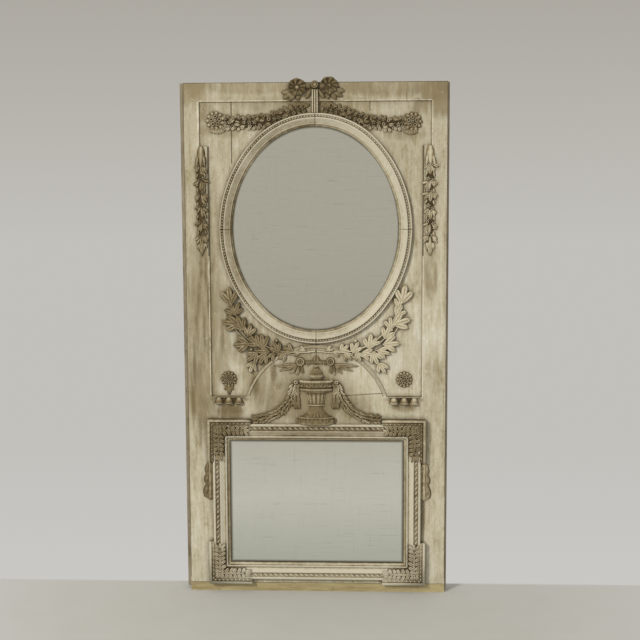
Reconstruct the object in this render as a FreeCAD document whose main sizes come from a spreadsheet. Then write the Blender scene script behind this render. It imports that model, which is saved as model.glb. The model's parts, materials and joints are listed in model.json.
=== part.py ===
import FreeCAD, Part
import math
import os

import Sketcher
from FreeCAD import Placement, Rotation, Vector

# A painted trumeau mirror: a tall boarded panel with an oval mirror above and a rectangular one below.
# Origin: middle of the underside of the bottom batten. +X right, front faces -Y, +Z up. Millimetres.

SIZES = {
    # Upright stack, from the floor
    "batten_height": 36,
    "lower_margin": 22,
    "sight_height": 537,
    "foot_margin": 97,
    "knot_gap": 16,
    "knot_margin": 68,
    "oval_gap": 8.5,
    "oval_half_height": 427.5,
    "top_margin": 48.5,
    "top_rail_height": 78,
    "field_step_drop": 184,
    # Widths, from the middle
    "oval_half_width": 350,
    "side_margin": 44,
    "stile_width": 101,
    "top_stile_width": 65,
    "lower_reveal": 4,
    # Boards
    "face_thickness": 26,
    "field_recess": 6,
    "field_joint_left": 350,
    "field_joint_right": 228,
    "arch_radius": 313,
    "fit_gap": 0.3,
    # Rear frame
    "rear_depth": 42,
    "rear_stile_width": 90,
    "rear_overhang_left": 17,
    "rear_overhang_right": 9,
    "rear_stile_lift": 12,
    "rear_top_rail_height": 95,
    "rear_middle_rail_height": 95,
    "rear_middle_rail_rise": 11,
    "rear_bottom_rail_height": 90,
    "tenon_thickness": 14,
    "tenon_length": 45,
    "tenon_shoulder": 16,
    "joint_gap": 0.2,
    # Oval moulding, drawn from four centres
    "oval_end_radius": 300,
    "oval_moulding_width": 55,
    "oval_moulding_relief": 22,
    "oval_fillet_width": 6,
    "oval_fillet_relief": 15,
    "oval_channel_width": 12,
    "oval_channel_relief": 12,
    "oval_crown_width": 3,
    "oval_cove_width": 22,
    "oval_cove_foot": 9.5,
    "oval_cove_radius": 130,
    "oval_step_relief": 6.5,
    "oval_lip_relief": 4,
    "oval_rebate": 13,
    # Rectangular moulding and its ears
    "lower_moulding_width": 73,
    "lower_moulding_relief": 22,
    "lower_fillet_width": 13,
    "lower_band_width": 15,
    "lower_band_relief": 18,
    "lower_crown_width": 3,
    "lower_cove_width": 18,
    "lower_cove_foot": 12,
    "lower_cove_radius": 40,
    "lower_bead_width": 9,
    "lower_bead_relief": 16,
    "lower_hollow_radius": 30,
    "lower_lip_relief": 5,
    "lower_rebate": 13,
    "ear_projection": 21,
    "ear_arm": 185,
    "ear_plate_width": 50,
    "ear_plate_relief": 6,
    # Glass and backing
    "glass_thickness": 4,
    "glass_clearance": 1.5,
    "backing_thickness": 8,
    "block_length": 60,
    "block_depth": 10,
    # Crest over the rectangular mirror
    "crest_top_rise": 187,
    "crest_foot_rise": 17,
    "crest_shoulder": 14,
    "crest_curve_radius": 267,
    "crest_thickness": 8,
    "garland_width": 32,
    "garland_relief": 10,
    "garland_stem": 12,
    "garland_leaf": 36,
    "garland_leaf_width": 16,
    "garland_leaf_angle": 30,
    "garland_leaf_pitch": 31,
    "crest_drop_length": 112,
    "crest_drop_width": 24,
    "crest_drop_leaf_angle": 18,
    "crest_drop_relief": 8,
    # Urn, from its base up
    "urn_base_radius": 77,
    "urn_base_height": 32,
    "urn_foot_radius": 70,
    "urn_foot_height": 46,
    "urn_hollow_radius": 36,
    "urn_hollow_rise": 20,
    "urn_stem_radius": 26,
    "urn_ring_radius": 38,
    "urn_ring_height": 6,
    "urn_waist_radius": 34,
    "urn_body_radius": 41,
    "urn_body_height": 51,
    "urn_bowl_height": 13,
    "urn_rim_radius": 71,
    "urn_rim_height": 42,
    "urn_neck_radius": 24,
    "urn_neck_height": 17,
    "urn_lid_radius": 30,
    "urn_tip_radius": 3,
    "urn_lid_height": 48,
    "urn_projection": 30,
    # Bow and strap over the oval
    "knob_drop": 12,
    "knob_radius": 17.5,
    "knob_relief": 26,
    "bow_drop": 5,
    "bow_loop_radius": 40,
    "bow_loop_spread": 66,
    "bow_eye_radius": 11,
    "bow_band": 16,
    "bow_band_sag": 3,
    "bow_end_length": 94,
    "bow_end_width": 26,
    "bow_end_angle": 22,
    "bow_relief": 16,
    "strap_width": 30,
    "strap_relief": 12,
    "strap_drop": 13,
    # Swags beside the bow
    "swag_rosette_margin": 77,
    "swag_rosette_drop": 82,
    "swag_rosette_radius": 36,
    "swag_boss_radius": 12,
    "swag_boss_relief": 4,
    "swag_end_spread": 38,
    "swag_end_drop": 22,
    "swag_sag": 22,
    "swag_stem": 15,
    "swag_leaf": 68,
    "swag_leaf_width": 28,
    "swag_leaf_angle": 24,
    "swag_leaf_count": 6,
    "swag_relief": 16,
    # Husk drops down the stiles
    "husk_gap": 2,
    "husk_length": 459,
    "husk_count": 6,
    "husk_width": 58,
    "husk_relief": 14,
    "husk_leaf_angle": 17,
    # Laurel sprays under the oval
    "spray_drop": 24,
    "spray_rise": 246,
    "spray_margin": 63,
    "spray_bulge": 84,
    "spray_stem": 7,
    "spray_leaf": 66,
    "spray_leaf_width": 27,
    "spray_leaf_count": 6,
    "spray_leaf_angle": 38,
    "spray_inner_leaf": 40,
    "spray_inner_width": 21,
    "spray_relief": 12,
    # Bow on the arch
    "knot_ring_spread": 64,
    "knot_ring_radius": 22,
    "knot_ring_hole": 10,
    "knot_band_sag": 10,
    "knot_band": 9,
    "knot_tail_length": 116,
    "knot_tail_width": 20,
    "knot_tail_drop": 16,
    "knot_tail_angle": 8,
    "knot_end_length": 56,
    "knot_end_width": 18,
    "knot_end_angle": 62,
    "knot_bud_length": 50,
    "knot_bud_drop": 10,
    "knot_relief": 12,
    # Paterae and guttae
    "patera_rise": 74,
    "patera_radius": 33,
    "patera_petal": 20,
    "patera_petal_width": 18,
    "patera_relief": 14,
    "patera_boss_radius": 9,
    "patera_boss_relief": 3.5,
    "patera_stem_top": 38,
    "patera_stem_foot": 17,
    "patera_stem_overlap": 13,
    "patera_foot_margin": 5.5,
    "gutta_pitch": 43,
    "gutta_count": 3,
    "gutta_height": 30,
    "gutta_top_radius": 11,
    "gutta_foot_radius": 20,
    "gutta_strip_height": 4,
    # Leaf scrolls beside the rectangular mirror
    "scroll_gap": 2,
    "scroll_drop": 3,
    "scroll_length": 168,
    "scroll_count": 4,
    "scroll_width": 40,
    "scroll_relief": 12,
}

QUARTER_TURN = 90
LINE_START, LINE_END = 1, 2
LEAF_EDGE = ((0.3, 0.94), (0.66, 0.8))
DISC_SIDES = 16
STEM_PARTS = 6
URN_SIDES = 12
GUTTA_SIDES = 4
PETALS = 8
PETAL_LENGTH = 0.6
PETAL_WIDTH = 0.62
ROSETTE_REACH = 0.7
DROP_SHARES = (0.2, 0.45, 0.7)
SWAG_TAPER = 0.6
SWAG_END_SHARE = 0.4
HUSK_END_SHARE = 0.35
HUSK_TAPER = 0.55
HUSK_LEAF_SHARE = 0.42
HUSK_SIDE_SHARE = 0.86
SPRAY_TIP_SHARE = 0.9


class Size:
    """A length or a number that knows the sheet's expression for it."""

    def __init__(self, number, text):
        self.number = number
        self.text = text

    def __float__(self):
        return float(self.number)

    def __add__(self, other):
        return join(self, other, "+", float(self) + float(other))

    def __radd__(self, other):
        return join(other, self, "+", float(other) + float(self))

    def __sub__(self, other):
        return join(self, other, "-", float(self) - float(other))

    def __rsub__(self, other):
        return join(other, self, "-", float(other) - float(self))

    def __mul__(self, other):
        return join(self, other, "*", float(self) * float(other))

    def __rmul__(self, other):
        return join(other, self, "*", float(other) * float(self))

    def __truediv__(self, other):
        return join(self, other, "/", float(self) / float(other))

    def __neg__(self):
        return Size(-float(self), "(-1 * " + self.text + ")")


def text_of(value):
    return value.text if isinstance(value, Size) else "(" + repr(float(value)) + ")"


def join(left, right, sign, number):
    return Size(number, "(" + text_of(left) + " " + sign + " " + text_of(right) + ")")


def root(value):
    return Size(math.sqrt(float(value)), "sqrt(" + value.text + ")")


def write_sheet(doc):
    """Put every driving size in the sheet and hand each back as a Size."""
    sheet = doc.addObject("Spreadsheet::Sheet", "sizes")
    found = {}
    for row, (name, number) in enumerate(SIZES.items(), start=1):
        sheet.set("A%d" % row, name)
        sheet.set("B%d" % row, str(number))
        sheet.setAlias("B%d" % row, name)
        found[name] = Size(number, "sizes." + name)
    doc.recompute()
    return found


doc = FreeCAD.newDocument("trumeau_mirror")
dim = write_sheet(doc)
nodes = []


# Sketches and features ----------------------------------------------------------------------------

def start_body(name):
    body = doc.addObject("PartDesign::Body", name)
    body.Label = name
    nodes.append(body)
    return body


def start_sketch(body, role, offset):
    """An empty sketch on one of the body's own planes, moved along the plane's normal."""
    sketch = body.newObject("Sketcher::SketchObject", "outline")
    plane = [item for item in body.Origin.OriginFeatures if item.Role == role][0]
    sketch.AttachmentSupport = (plane, [""])
    sketch.MapMode = "FlatFace"
    if isinstance(offset, Size):
        sketch.setExpression("AttachmentOffset.Base.z", offset.text)
    return sketch


def arc_side(start, end, radius, turn):
    """The shorter arc between two points; turn is 1 with the centre on the left, -1 on the right."""
    chord = end - start
    rise = math.sqrt(radius ** 2 - (chord.Length / 2) ** 2)
    left = Vector(-chord.y, chord.x, 0).normalize()
    centre = (start + end) / 2 + left * rise * turn
    first, last = (start, end) if turn > 0 else (end, start)
    angles = [math.atan2(point.y - centre.y, point.x - centre.x) for point in (first, last)]
    return Part.ArcOfCircle(Part.Circle(centre, Vector(0, 0, 1), radius), angles[0], angles[1])


def bind(sketch, kind, element, point, value):
    """Tie one coordinate of a point to its size."""
    if not isinstance(value, Size):
        axis = -2 if kind == "DistanceX" else -1
        sketch.addConstraint(Sketcher.Constraint("PointOnObject", element, point, axis))
        return
    index = sketch.addConstraint(Sketcher.Constraint(kind, -1, 1, element, point, float(value)))
    sketch.setExpression("Constraints[%d]" % index, value.text)


def add_outline(sketch, corners):
    """Close an outline through corners (across, up) or (across, up, radius, turn) of the next side."""
    first = sketch.GeometryCount
    count = len(corners)
    points = [Vector(float(corner[0]), float(corner[1]), 0) for corner in corners]
    starts = []
    for index, corner in enumerate(corners):
        here, there = points[index], points[(index + 1) % count]
        if len(corner) == 2:
            sketch.addGeometry(Part.LineSegment(here, there))
        else:
            sketch.addGeometry(arc_side(here, there, float(corner[2]), corner[3]))
        starts.append(LINE_END if len(corner) == 4 and corner[3] < 0 else LINE_START)
    for index, corner in enumerate(corners):
        before = (index - 1) % count
        end_of_before = LINE_START + LINE_END - starts[before]
        sketch.addConstraint(Sketcher.Constraint(
            "Coincident", first + before, end_of_before, first + index, starts[index]))
    for index, corner in enumerate(corners):
        bind(sketch, "DistanceX", first + index, starts[index], corner[0])
        bind(sketch, "DistanceY", first + index, starts[index], corner[1])
        if len(corner) == 4:
            radius = sketch.addConstraint(
                Sketcher.Constraint("Radius", first + index, float(corner[2])))
            sketch.setExpression("Constraints[%d]" % radius, corner[2].text)


def add_plate(body, corners, front, back):
    """A flat piece between two planes that face the viewer."""
    sketch = start_sketch(body, "XZ_Plane", -back)
    add_outline(sketch, corners)
    pad = body.newObject("PartDesign::Pad", "board")
    pad.Profile = sketch
    pad.setExpression("Length", (back - front).text)
    return pad


def cut_plate(body, corners, front, back):
    """An opening through the piece between two planes that face the viewer."""
    sketch = start_sketch(body, "XZ_Plane", -front)
    add_outline(sketch, corners)
    pocket = body.newObject("PartDesign::Pocket", "opening")
    pocket.Profile = sketch
    pocket.setExpression("Length", (back - front).text)
    return pocket


def plate(name, corners, front, back, opening=None):
    body = start_body(name)
    add_plate(body, corners, front, back)
    if opening:
        cut_plate(body, opening, front, back)
    return body


def box(left, right, bottom, top):
    return [(left, bottom), (right, bottom), (right, top), (left, top)]


def flip(corners):
    """The same outline on the other side of the centre line."""
    flipped = []
    for corner in corners:
        across = -corner[0] if isinstance(corner[0], Size) else corner[0]
        rest = (corner[1],) if len(corner) == 2 else (corner[1], corner[2], -corner[3])
        flipped.append((across,) + rest)
    return flipped


def for_side(side, corners):
    return corners if side == "right" else flip(corners)


# Planes and places that several pieces share --------------------------------------------------------

ground = -(dim["face_thickness"] / 2)
face_back = dim["face_thickness"] / 2
field = ground + dim["field_recess"]
rear_back = face_back + dim["rear_depth"]

stile_edge = dim["oval_half_width"] + dim["oval_moulding_width"] + dim["side_margin"]
face_half = stile_edge + dim["stile_width"]
top_stile_edge = face_half - dim["top_stile_width"]

moulding_half = stile_edge - dim["lower_reveal"]
moulding_bottom = dim["batten_height"] + dim["lower_margin"]
sight_half = moulding_half - dim["lower_moulding_width"]
sight_width = sight_half * 2
sight_bottom = moulding_bottom + dim["lower_moulding_width"]
sight_top = sight_bottom + dim["sight_height"]
moulding_top = sight_top + dim["lower_moulding_width"]
opening_half = sight_half + dim["lower_rebate"]
opening_bottom = sight_bottom - dim["lower_rebate"]
opening_top = sight_top + dim["lower_rebate"]
ear_half = moulding_half + dim["ear_projection"]
ear_top = moulding_top + dim["ear_projection"]

URN_LEVELS = ("urn_base_height", "urn_foot_height", "urn_ring_height", "urn_body_height",
              "urn_bowl_height", "urn_rim_height", "urn_neck_height", "urn_lid_height")
urn_top = moulding_top
for level in URN_LEVELS:
    urn_top = urn_top + dim[level]

field_foot = ear_top + dim["foot_margin"]
knot_height = urn_top + dim["knot_gap"]
arch_top = knot_height + dim["knot_margin"]
arch_centre = arch_top - dim["arch_radius"]
oval_foot = arch_top + dim["oval_gap"]
oval_centre = oval_foot + dim["oval_moulding_width"] + dim["oval_half_height"]
oval_top = oval_centre + dim["oval_half_height"] + dim["oval_moulding_width"]
field_top = oval_top + dim["top_margin"]
field_step = field_top - dim["field_step_drop"]
face_top = field_top + dim["top_rail_height"]

# The oval: end arcs centred on the upright axis, side arcs centred on the level one.
end_centre = dim["oval_half_height"] - dim["oval_end_radius"]
end_margin = dim["oval_half_width"] - dim["oval_end_radius"]
side_centre = (end_centre * end_centre - end_margin * end_margin) / (end_margin * 2)
side_radius = dim["oval_half_width"] + side_centre
centre_distance = root(side_centre * side_centre + end_centre * end_centre)


def oval_outline(offset):
    """Four tangent arcs, moved outwards from the sight edge by an offset."""
    end_radius = dim["oval_end_radius"] + offset
    long_radius = side_radius + offset
    across = side_centre / centre_distance * end_radius
    up = end_centre + end_centre / centre_distance * end_radius
    top = oval_centre + up
    bottom = oval_centre - up
    return [(across, bottom, long_radius, 1), (across, top, end_radius, 1),
            (-across, top, long_radius, 1), (-across, bottom, end_radius, 1)]


# Rear frame -----------------------------------------------------------------------------------------

middle_rail_foot = field_foot + dim["rear_middle_rail_rise"]
RAILS = {
    "rear_top_rail": (face_top - dim["rear_top_rail_height"], face_top),
    "rear_middle_rail": (middle_rail_foot, middle_rail_foot + dim["rear_middle_rail_height"]),
    "rear_bottom_rail": (dim["rear_bottom_rail_height"] * 0, dim["rear_bottom_rail_height"]),
}
rear_left = -(face_half + dim["rear_overhang_left"])
rear_right = face_half + dim["rear_overhang_right"]
tenon_front = face_back + (dim["rear_depth"] - dim["tenon_thickness"]) / 2
tenon_back = tenon_front + dim["tenon_thickness"]


def rear_stile(name, outer, inner, inward):
    """An upright with a mortise for each rail; inward is 1 for the left stile and -1 for the right."""
    body = start_body(name)
    add_plate(body, box(outer, inner, dim["rear_stile_lift"], face_top), face_back, rear_back)
    depth = dim["tenon_length"] + dim["joint_gap"]
    for bottom, top in RAILS.values():
        low = bottom + dim["tenon_shoulder"] - dim["joint_gap"]
        high = top - dim["tenon_shoulder"] + dim["joint_gap"]
        mortise = box(inner - depth * inward, inner, low, high)
        cut_plate(body, mortise, tenon_front - dim["joint_gap"], tenon_back + dim["joint_gap"])


def rear_rail(name, bottom, top):
    """A rail with a shouldered tenon at each end."""
    body = start_body(name)
    left = rear_left + dim["rear_stile_width"]
    right = rear_right - dim["rear_stile_width"]
    add_plate(body, box(left, right, bottom, top), face_back, rear_back)
    low = bottom + dim["tenon_shoulder"]
    high = top - dim["tenon_shoulder"]
    length = dim["tenon_length"]
    add_plate(body, box(left - length, right + length, low, high), tenon_front, tenon_back)


def build_rear_frame():
    rear_stile("rear_left_stile", rear_left, rear_left + dim["rear_stile_width"], 1)
    rear_stile("rear_right_stile", rear_right, rear_right - dim["rear_stile_width"], -1)
    for name, (bottom, top) in RAILS.items():
        rear_rail(name, bottom, top)


# Boarded face -----------------------------------------------------------------------------------------

def arch_reach(radius, height):
    """Half the width of the arch at a height."""
    rise = height - arch_centre
    return root(radius * radius - rise * rise)


def arch_height(radius, reach):
    return arch_centre + root(radius * radius - reach * reach)


def build_ground():
    stile = [(face_half, dim["batten_height"]), (face_half, face_top),
             (top_stile_edge, face_top), (top_stile_edge, field_step),
             (stile_edge, field_step), (stile_edge, dim["batten_height"])]
    lower_stile = box(opening_half, stile_edge, opening_bottom, opening_top)
    for side in ("left", "right"):
        plate(side + "_face_stile", for_side(side, stile), ground, face_back)
        plate("lower_" + side + "_stile", for_side(side, lower_stile), ground, face_back)
    plate("top_face_rail", box(-top_stile_edge, top_stile_edge, field_top, face_top),
          ground, face_back)
    plate("lower_face_rail", box(-stile_edge, stile_edge, dim["batten_height"], opening_bottom),
          ground, face_back)
    foot = arch_reach(dim["arch_radius"], field_foot)
    arch = [(-stile_edge, opening_top), (stile_edge, opening_top), (stile_edge, field_foot),
            (foot, field_foot, dim["arch_radius"], 1),
            (-foot, field_foot), (-stile_edge, field_foot)]
    plate("arched_board", arch, ground, face_back)
    plate("bottom_batten", box(-face_half, face_half, dim["batten_height"] * 0, dim["batten_height"]),
          ground, face_back)


def build_field():
    """Four recessed boards round the oval, which the moulding covers."""
    opening = oval_outline(dim["oval_rebate"])
    cut_radius = dim["arch_radius"] + dim["fit_gap"]
    foot = arch_reach(cut_radius, field_foot)
    low, high, step = field_foot, field_top, field_step
    left, right = -dim["field_joint_left"], dim["field_joint_right"]
    meet = arch_height(cut_radius, right)
    middle = oval_centre
    left_board = [(-stile_edge, low), (left, low), (left, high), (-top_stile_edge, high),
                  (-top_stile_edge, step), (-stile_edge, step)]
    right_board = [(right, meet, cut_radius, -1), (foot, low), (stile_edge, low), (stile_edge, step),
                   (top_stile_edge, step), (top_stile_edge, high), (right, high)]
    bottom_board = [(left, low), (-foot, low, cut_radius, -1), (right, meet), (right, middle),
                    (left, middle)]
    plate("field_left_board", left_board, field, face_back, opening)
    plate("field_right_board", right_board, field, face_back, opening)
    plate("field_bottom_board", bottom_board, field, face_back, opening)
    plate("field_top_board", box(left, right, middle, high), field, face_back, opening)


# Mouldings --------------------------------------------------------------------------------------------

def oval_profile():
    """Section of the oval moulding: across from the sight edge, and up from the field boards."""
    width = dim["oval_moulding_width"]
    channel = width - dim["oval_fillet_width"]
    crown = channel - dim["oval_channel_width"]
    cove = crown - dim["oval_crown_width"]
    step = cove - dim["oval_cove_width"]
    return [(0, 0), (width, 0), (width, dim["oval_fillet_relief"]), (channel, dim["oval_fillet_relief"]),
            (channel, dim["oval_channel_relief"]), (crown, dim["oval_channel_relief"]),
            (crown, dim["oval_moulding_relief"]),
            (cove, dim["oval_moulding_relief"], dim["oval_cove_radius"], -1),
            (step, dim["oval_cove_foot"]), (step, dim["oval_step_relief"]), (0, dim["oval_lip_relief"])]


def lower_profile():
    """Section of the straight moulding: across from the sight edge, and up from the boards."""
    width = dim["lower_moulding_width"]
    band = width - dim["lower_fillet_width"]
    crown = band - dim["lower_band_width"]
    cove = crown - dim["lower_crown_width"]
    bead = cove - dim["lower_cove_width"]
    hollow = bead - dim["lower_bead_width"]
    relief = dim["lower_moulding_relief"]
    return [(0, 0), (width, 0), (width, relief), (band, relief), (band, dim["lower_band_relief"]),
            (crown, dim["lower_band_relief"]), (crown, relief),
            (cove, relief, dim["lower_cove_radius"], -1), (bead, dim["lower_cove_foot"]),
            (bead, dim["lower_bead_relief"]),
            (hollow, dim["lower_bead_relief"], dim["lower_hollow_radius"], -1),
            (0, dim["lower_lip_relief"])]


def face_outwards(body, across, back, up, angle):
    """Turn a moulding's section so that it leans on the boards and its width points at an angle."""
    heading = math.radians(float(angle))
    outwards = Vector(math.cos(heading), 0, math.sin(heading))
    along = Vector(math.sin(heading), 0, -math.cos(heading))
    body.Placement = Placement(Vector(float(across), float(back), float(up)),
                               Rotation(outwards, Vector(0, -1, 0), along, "XYZ"))


def add_turn(body, sketch, axis, angle, reverse):
    turn = body.newObject("PartDesign::Revolution", "turned_length")
    turn.Profile = sketch
    turn.ReferenceAxis = (sketch, ["Axis%d" % axis])
    turn.Reversed = reverse
    turn.setExpression("Angle", angle)


def add_axis(sketch, across):
    """A construction line, square to the boards, that a moulding turns about."""
    reach = dim["oval_moulding_relief"]
    start, end = Vector(float(across), 0, 0), Vector(float(across), float(reach), 0)
    line = sketch.addGeometry(Part.LineSegment(start, end), True)
    sketch.addConstraint(Sketcher.Constraint("Vertical", line))
    sketch.addConstraint(Sketcher.Constraint("PointOnObject", line, LINE_START, -1))
    bind(sketch, "DistanceX", line, LINE_START, across)
    length = sketch.addConstraint(
        Sketcher.Constraint("DistanceY", line, LINE_START, line, LINE_END, float(reach)))
    sketch.setExpression("Constraints[%d]" % length, reach.text)


def oval_quarter(name, side, half):
    """A quarter of the oval moulding: one section turned about the end centre and the side centre."""
    body = start_body(name)
    sketch = start_sketch(body, "XY_Plane", None)
    add_outline(sketch, oval_profile())
    add_axis(sketch, -dim["oval_end_radius"])
    add_axis(sketch, -side_radius)
    lean = "atan2(" + end_centre.text + "; " + side_centre.text + ")"
    mirrored = (side == "left") != (half == "bottom")
    add_turn(body, sketch, 0, "90 deg - " + lean, mirrored)
    add_turn(body, sketch, 1, lean, not mirrored)
    angle = math.degrees(math.atan2(float(end_centre), float(side_centre)))
    heading = angle if half == "top" else -angle
    across, up = oval_outline(0)[1][:2]
    if side == "left":
        heading, across = 2 * QUARTER_TURN - heading, -across
    if half == "bottom":
        up = oval_centre * 2 - up
    face_outwards(body, across, field, up, heading)


def straight_moulding(name, length, across, up, angle):
    """A mitred length of the straight moulding, centred on the middle of its sight edge."""
    body = start_body(name)
    sketch = start_sketch(body, "XY_Plane", None)
    add_outline(sketch, lower_profile())
    pad = body.newObject("PartDesign::Pad", "length")
    pad.Profile = sketch
    pad.Midplane = True
    width = dim["lower_moulding_width"]
    pad.setExpression("Length", (length + width * 2).text)
    for end in (1, -1):
        inner = length / 2 * end
        outer = (length / 2 + width) * end
        mitre = start_sketch(body, "XZ_Plane", None)
        add_outline(mitre, [(0, inner), (width, outer), (0, outer)])
        pocket = body.newObject("PartDesign::Pocket", "mitre")
        pocket.Profile = mitre
        pocket.setExpression("Length", dim["lower_moulding_relief"].text)
    face_outwards(body, across, ground, up, angle)


def corner_ear(name, side, half):
    """An L-shaped block outside the moulding's corner, with a plate that laps over its outer band."""
    body = start_body(name)
    step = 1 if half == "top" else -1
    edge = moulding_top if half == "top" else moulding_bottom
    out, up = moulding_half + dim["ear_projection"], edge + dim["ear_projection"] * step
    arm_in, arm_down = out - dim["ear_arm"], up - dim["ear_arm"] * step
    laps = dim["ear_plate_width"]
    top = ground - dim["lower_moulding_relief"]

    def outline(width):
        return [(out, up), (arm_in, up), (arm_in, up - width * step), (out - width, up - width * step),
                (out - width, arm_down), (out, arm_down)]

    add_plate(body, for_side(side, outline(dim["ear_projection"])), top, ground)
    add_plate(body, for_side(side, outline(laps)), top - dim["ear_plate_relief"], top)


def build_mouldings():
    for half in ("top", "bottom"):
        for side in ("left", "right"):
            oval_quarter("oval_frame_" + half + "_" + side, side, half)
            corner_ear("corner_ear_" + half + "_" + side, side, half)
    middle = (sight_bottom + sight_top) / 2
    straight_moulding("lower_frame_top", sight_width, 0, sight_top, QUARTER_TURN)
    straight_moulding("lower_frame_bottom", sight_width, 0, sight_bottom, -QUARTER_TURN)
    straight_moulding("lower_frame_right", dim["sight_height"], sight_half, middle, 0)
    straight_moulding("lower_frame_left", dim["sight_height"], -sight_half, middle, 2 * QUARTER_TURN)


# Glass and backing ------------------------------------------------------------------------------------

def build_mirrors():
    inset = dim["glass_clearance"]
    for name, front, outline in (
            ("oval", field, oval_outline(dim["oval_rebate"] - inset)),
            ("lower", ground, box(-(opening_half - inset), opening_half - inset,
                                  opening_bottom + inset, opening_top - inset))):
        behind = front + dim["glass_thickness"]
        plate(name + "_glass", outline, front, behind)
        plate(name + "_backboard", outline, behind, behind + dim["backing_thickness"])


def build_blocks():
    """Small blocks glued behind each backboard, against the edge of its opening."""
    depth, length = dim["block_depth"], dim["block_length"]
    sag = length * length / (side_radius * 8) + dim["fit_gap"]
    end_sag = length * length / (dim["oval_end_radius"] * 8) + dim["fit_gap"]
    reach = dim["oval_half_width"] + dim["oval_rebate"] - sag
    rise = dim["oval_half_height"] + dim["oval_rebate"] - end_sag
    middle = oval_centre
    oval_back = field + dim["glass_thickness"] + dim["backing_thickness"]
    places = [(reach - depth, middle - length / 2, depth, length),
              (-reach, middle - length / 2, depth, length),
              (-(length / 2), middle + rise - depth, length, depth),
              (-(length / 2), middle - rise, length, depth)]
    block_group("oval_blocks", places, oval_back, face_back)
    lower_back = ground + dim["glass_thickness"] + dim["backing_thickness"]
    places = []
    for up in (opening_bottom + dim["sight_height"] / 4, opening_top - dim["sight_height"] / 4):
        places.append((opening_half - depth, up - length / 2, depth, length))
        places.append((-opening_half, up - length / 2, depth, length))
    for up in (opening_bottom, opening_top - depth):
        for across in (-(sight_width / 4), sight_width / 4):
            places.append((across - length / 2, up, length, depth))
    block_group("lower_blocks", places, lower_back, face_back)


def block_group(name, places, front, back):
    """Boxes (left, bottom, width, height) between two planes, as one group of separate solids."""
    blocks = []
    for left, bottom, width, height in places:
        block = doc.addObject("Part::Box", name + "_piece")
        block.setExpression("Length", width.text)
        block.setExpression("Width", (back - front).text)
        block.setExpression("Height", height.text)
        block.setExpression("Placement.Base.x", left.text)
        block.setExpression("Placement.Base.y", front.text)
        block.setExpression("Placement.Base.z", bottom.text)
        blocks.append(block)
    group = doc.addObject("Part::Compound", name)
    group.Links = blocks
    group.Label = name
    nodes.append(group)


# Shapes that the carvings are made from -----------------------------------------------------------------

def sheet_point(across, up):
    return Vector(float(across), 0, float(up))


def heading_vector(heading):
    angle = math.radians(float(heading))
    return Vector(math.cos(angle), 0, math.sin(angle))


def polygon(points):
    return Part.Face(Part.makePolygon(points + points[:1]))


def leaf(foot, heading, length, width, curl=0.0):
    """A pointed leaf; curl bends it to one side."""
    forward = heading_vector(heading) * float(length)
    square = heading_vector(heading + QUARTER_TURN)
    near, far = [], []
    for share, breadth in LEAF_EDGE:
        middle = foot + forward * share
        near.append(middle + square * (curl + float(width) / 2 * breadth))
        far.append(middle + square * (curl - float(width) / 2 * breadth))
    return polygon([foot] + near + [foot + forward] + far[::-1])


def disc(centre, radius):
    step = 360.0 / DISC_SIDES
    return polygon([centre + heading_vector(step * side) * float(radius) for side in range(DISC_SIDES)])


def along_arc(start, end, bulge, share):
    """The point and heading at a share of the way along the arc that bulges to the chord's right."""
    chord = end - start
    radius = (chord.Length ** 2 / 4 + bulge ** 2) / (2 * bulge)
    half_turn = math.asin(chord.Length / 2 / radius)
    right = Vector(chord.z, 0, -chord.x).normalize()
    centre = (start + end) / 2 - right * (radius - bulge)
    lean = half_turn * (2 * share - 1)
    forward = Vector(chord).normalize()
    point = centre + (right * math.cos(lean) + forward * math.sin(lean)) * radius
    tangent = forward * math.cos(lean) - right * math.sin(lean)
    return point, math.degrees(math.atan2(tangent.z, tangent.x))


def stem(start, end, bulge, width):
    """A strip of one width along an arc."""
    near, far = [], []
    for part in range(STEM_PARTS + 1):
        point, heading = along_arc(start, end, bulge, part / STEM_PARTS)
        square = heading_vector(heading + QUARTER_TURN) * (float(width) / 2)
        near.append(point + square)
        far.append(point - square)
    return polygon(near + far[::-1])


def half_round(middle, radius, flattening, up, sides):
    """Points on half an ellipse that bulges towards the viewer, at one height."""
    points = []
    for side in range(sides + 1):
        angle = math.pi * side / sides
        across = middle.x + math.cos(angle) * float(radius)
        points.append(Vector(across, middle.y - math.sin(angle) * float(radius) * flattening, float(up)))
    return points


def frustum(low, high):
    """A solid with flat sides between two like outlines, one above the other."""
    faces = [polygon(low), polygon(high)]
    for number, corner in enumerate(low):
        after = (number + 1) % len(low)
        faces.append(polygon([corner, low[after], high[after], high[number]]))
    solid = Part.makeSolid(Part.makeShell(faces))
    if solid.Volume < 0:
        solid.reverse()
    return solid


def outline_face(corners):
    """The face inside an outline given as for a sketch."""
    points = [Vector(float(corner[0]), float(corner[1]), 0) for corner in corners]
    edges = []
    for number, corner in enumerate(corners):
        start, end = points[number], points[(number + 1) % len(corners)]
        if len(corner) == 2:
            edges.append(Part.LineSegment(start, end).toShape())
        else:
            edges.append(arc_side(start, end, float(corner[2]), corner[3]).toShape())
    face = Part.Face(Part.Wire(Part.sortEdges(edges)[0]))
    return face.rotated(Vector(0, 0, 0), Vector(1, 0, 0), QUARTER_TURN)


def relief(faces, back, height):
    """Overlapping outlines, raised towards the viewer from a plane as one solid."""
    solids = []
    for face in faces:
        seat = face.copy()
        seat.translate(Vector(0, float(back), 0))
        solids.append(seat.extrude(Vector(0, -float(height), 0)))
    whole = solids[0].multiFuse(solids[1:]) if len(solids) > 1 else solids[0]
    return whole.removeSplitter()


def carving(name, shape, side="right"):
    """Keep a carved piece, on the side of the centre line where it belongs."""
    if side == "left":
        shape = shape.mirror(Vector(0, 0, 0), Vector(1, 0, 0))
    feature = doc.addObject("Part::Feature", name)
    feature.Label = name
    feature.Shape = shape
    feature.Placement = Placement()
    nodes.append(feature)


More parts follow.
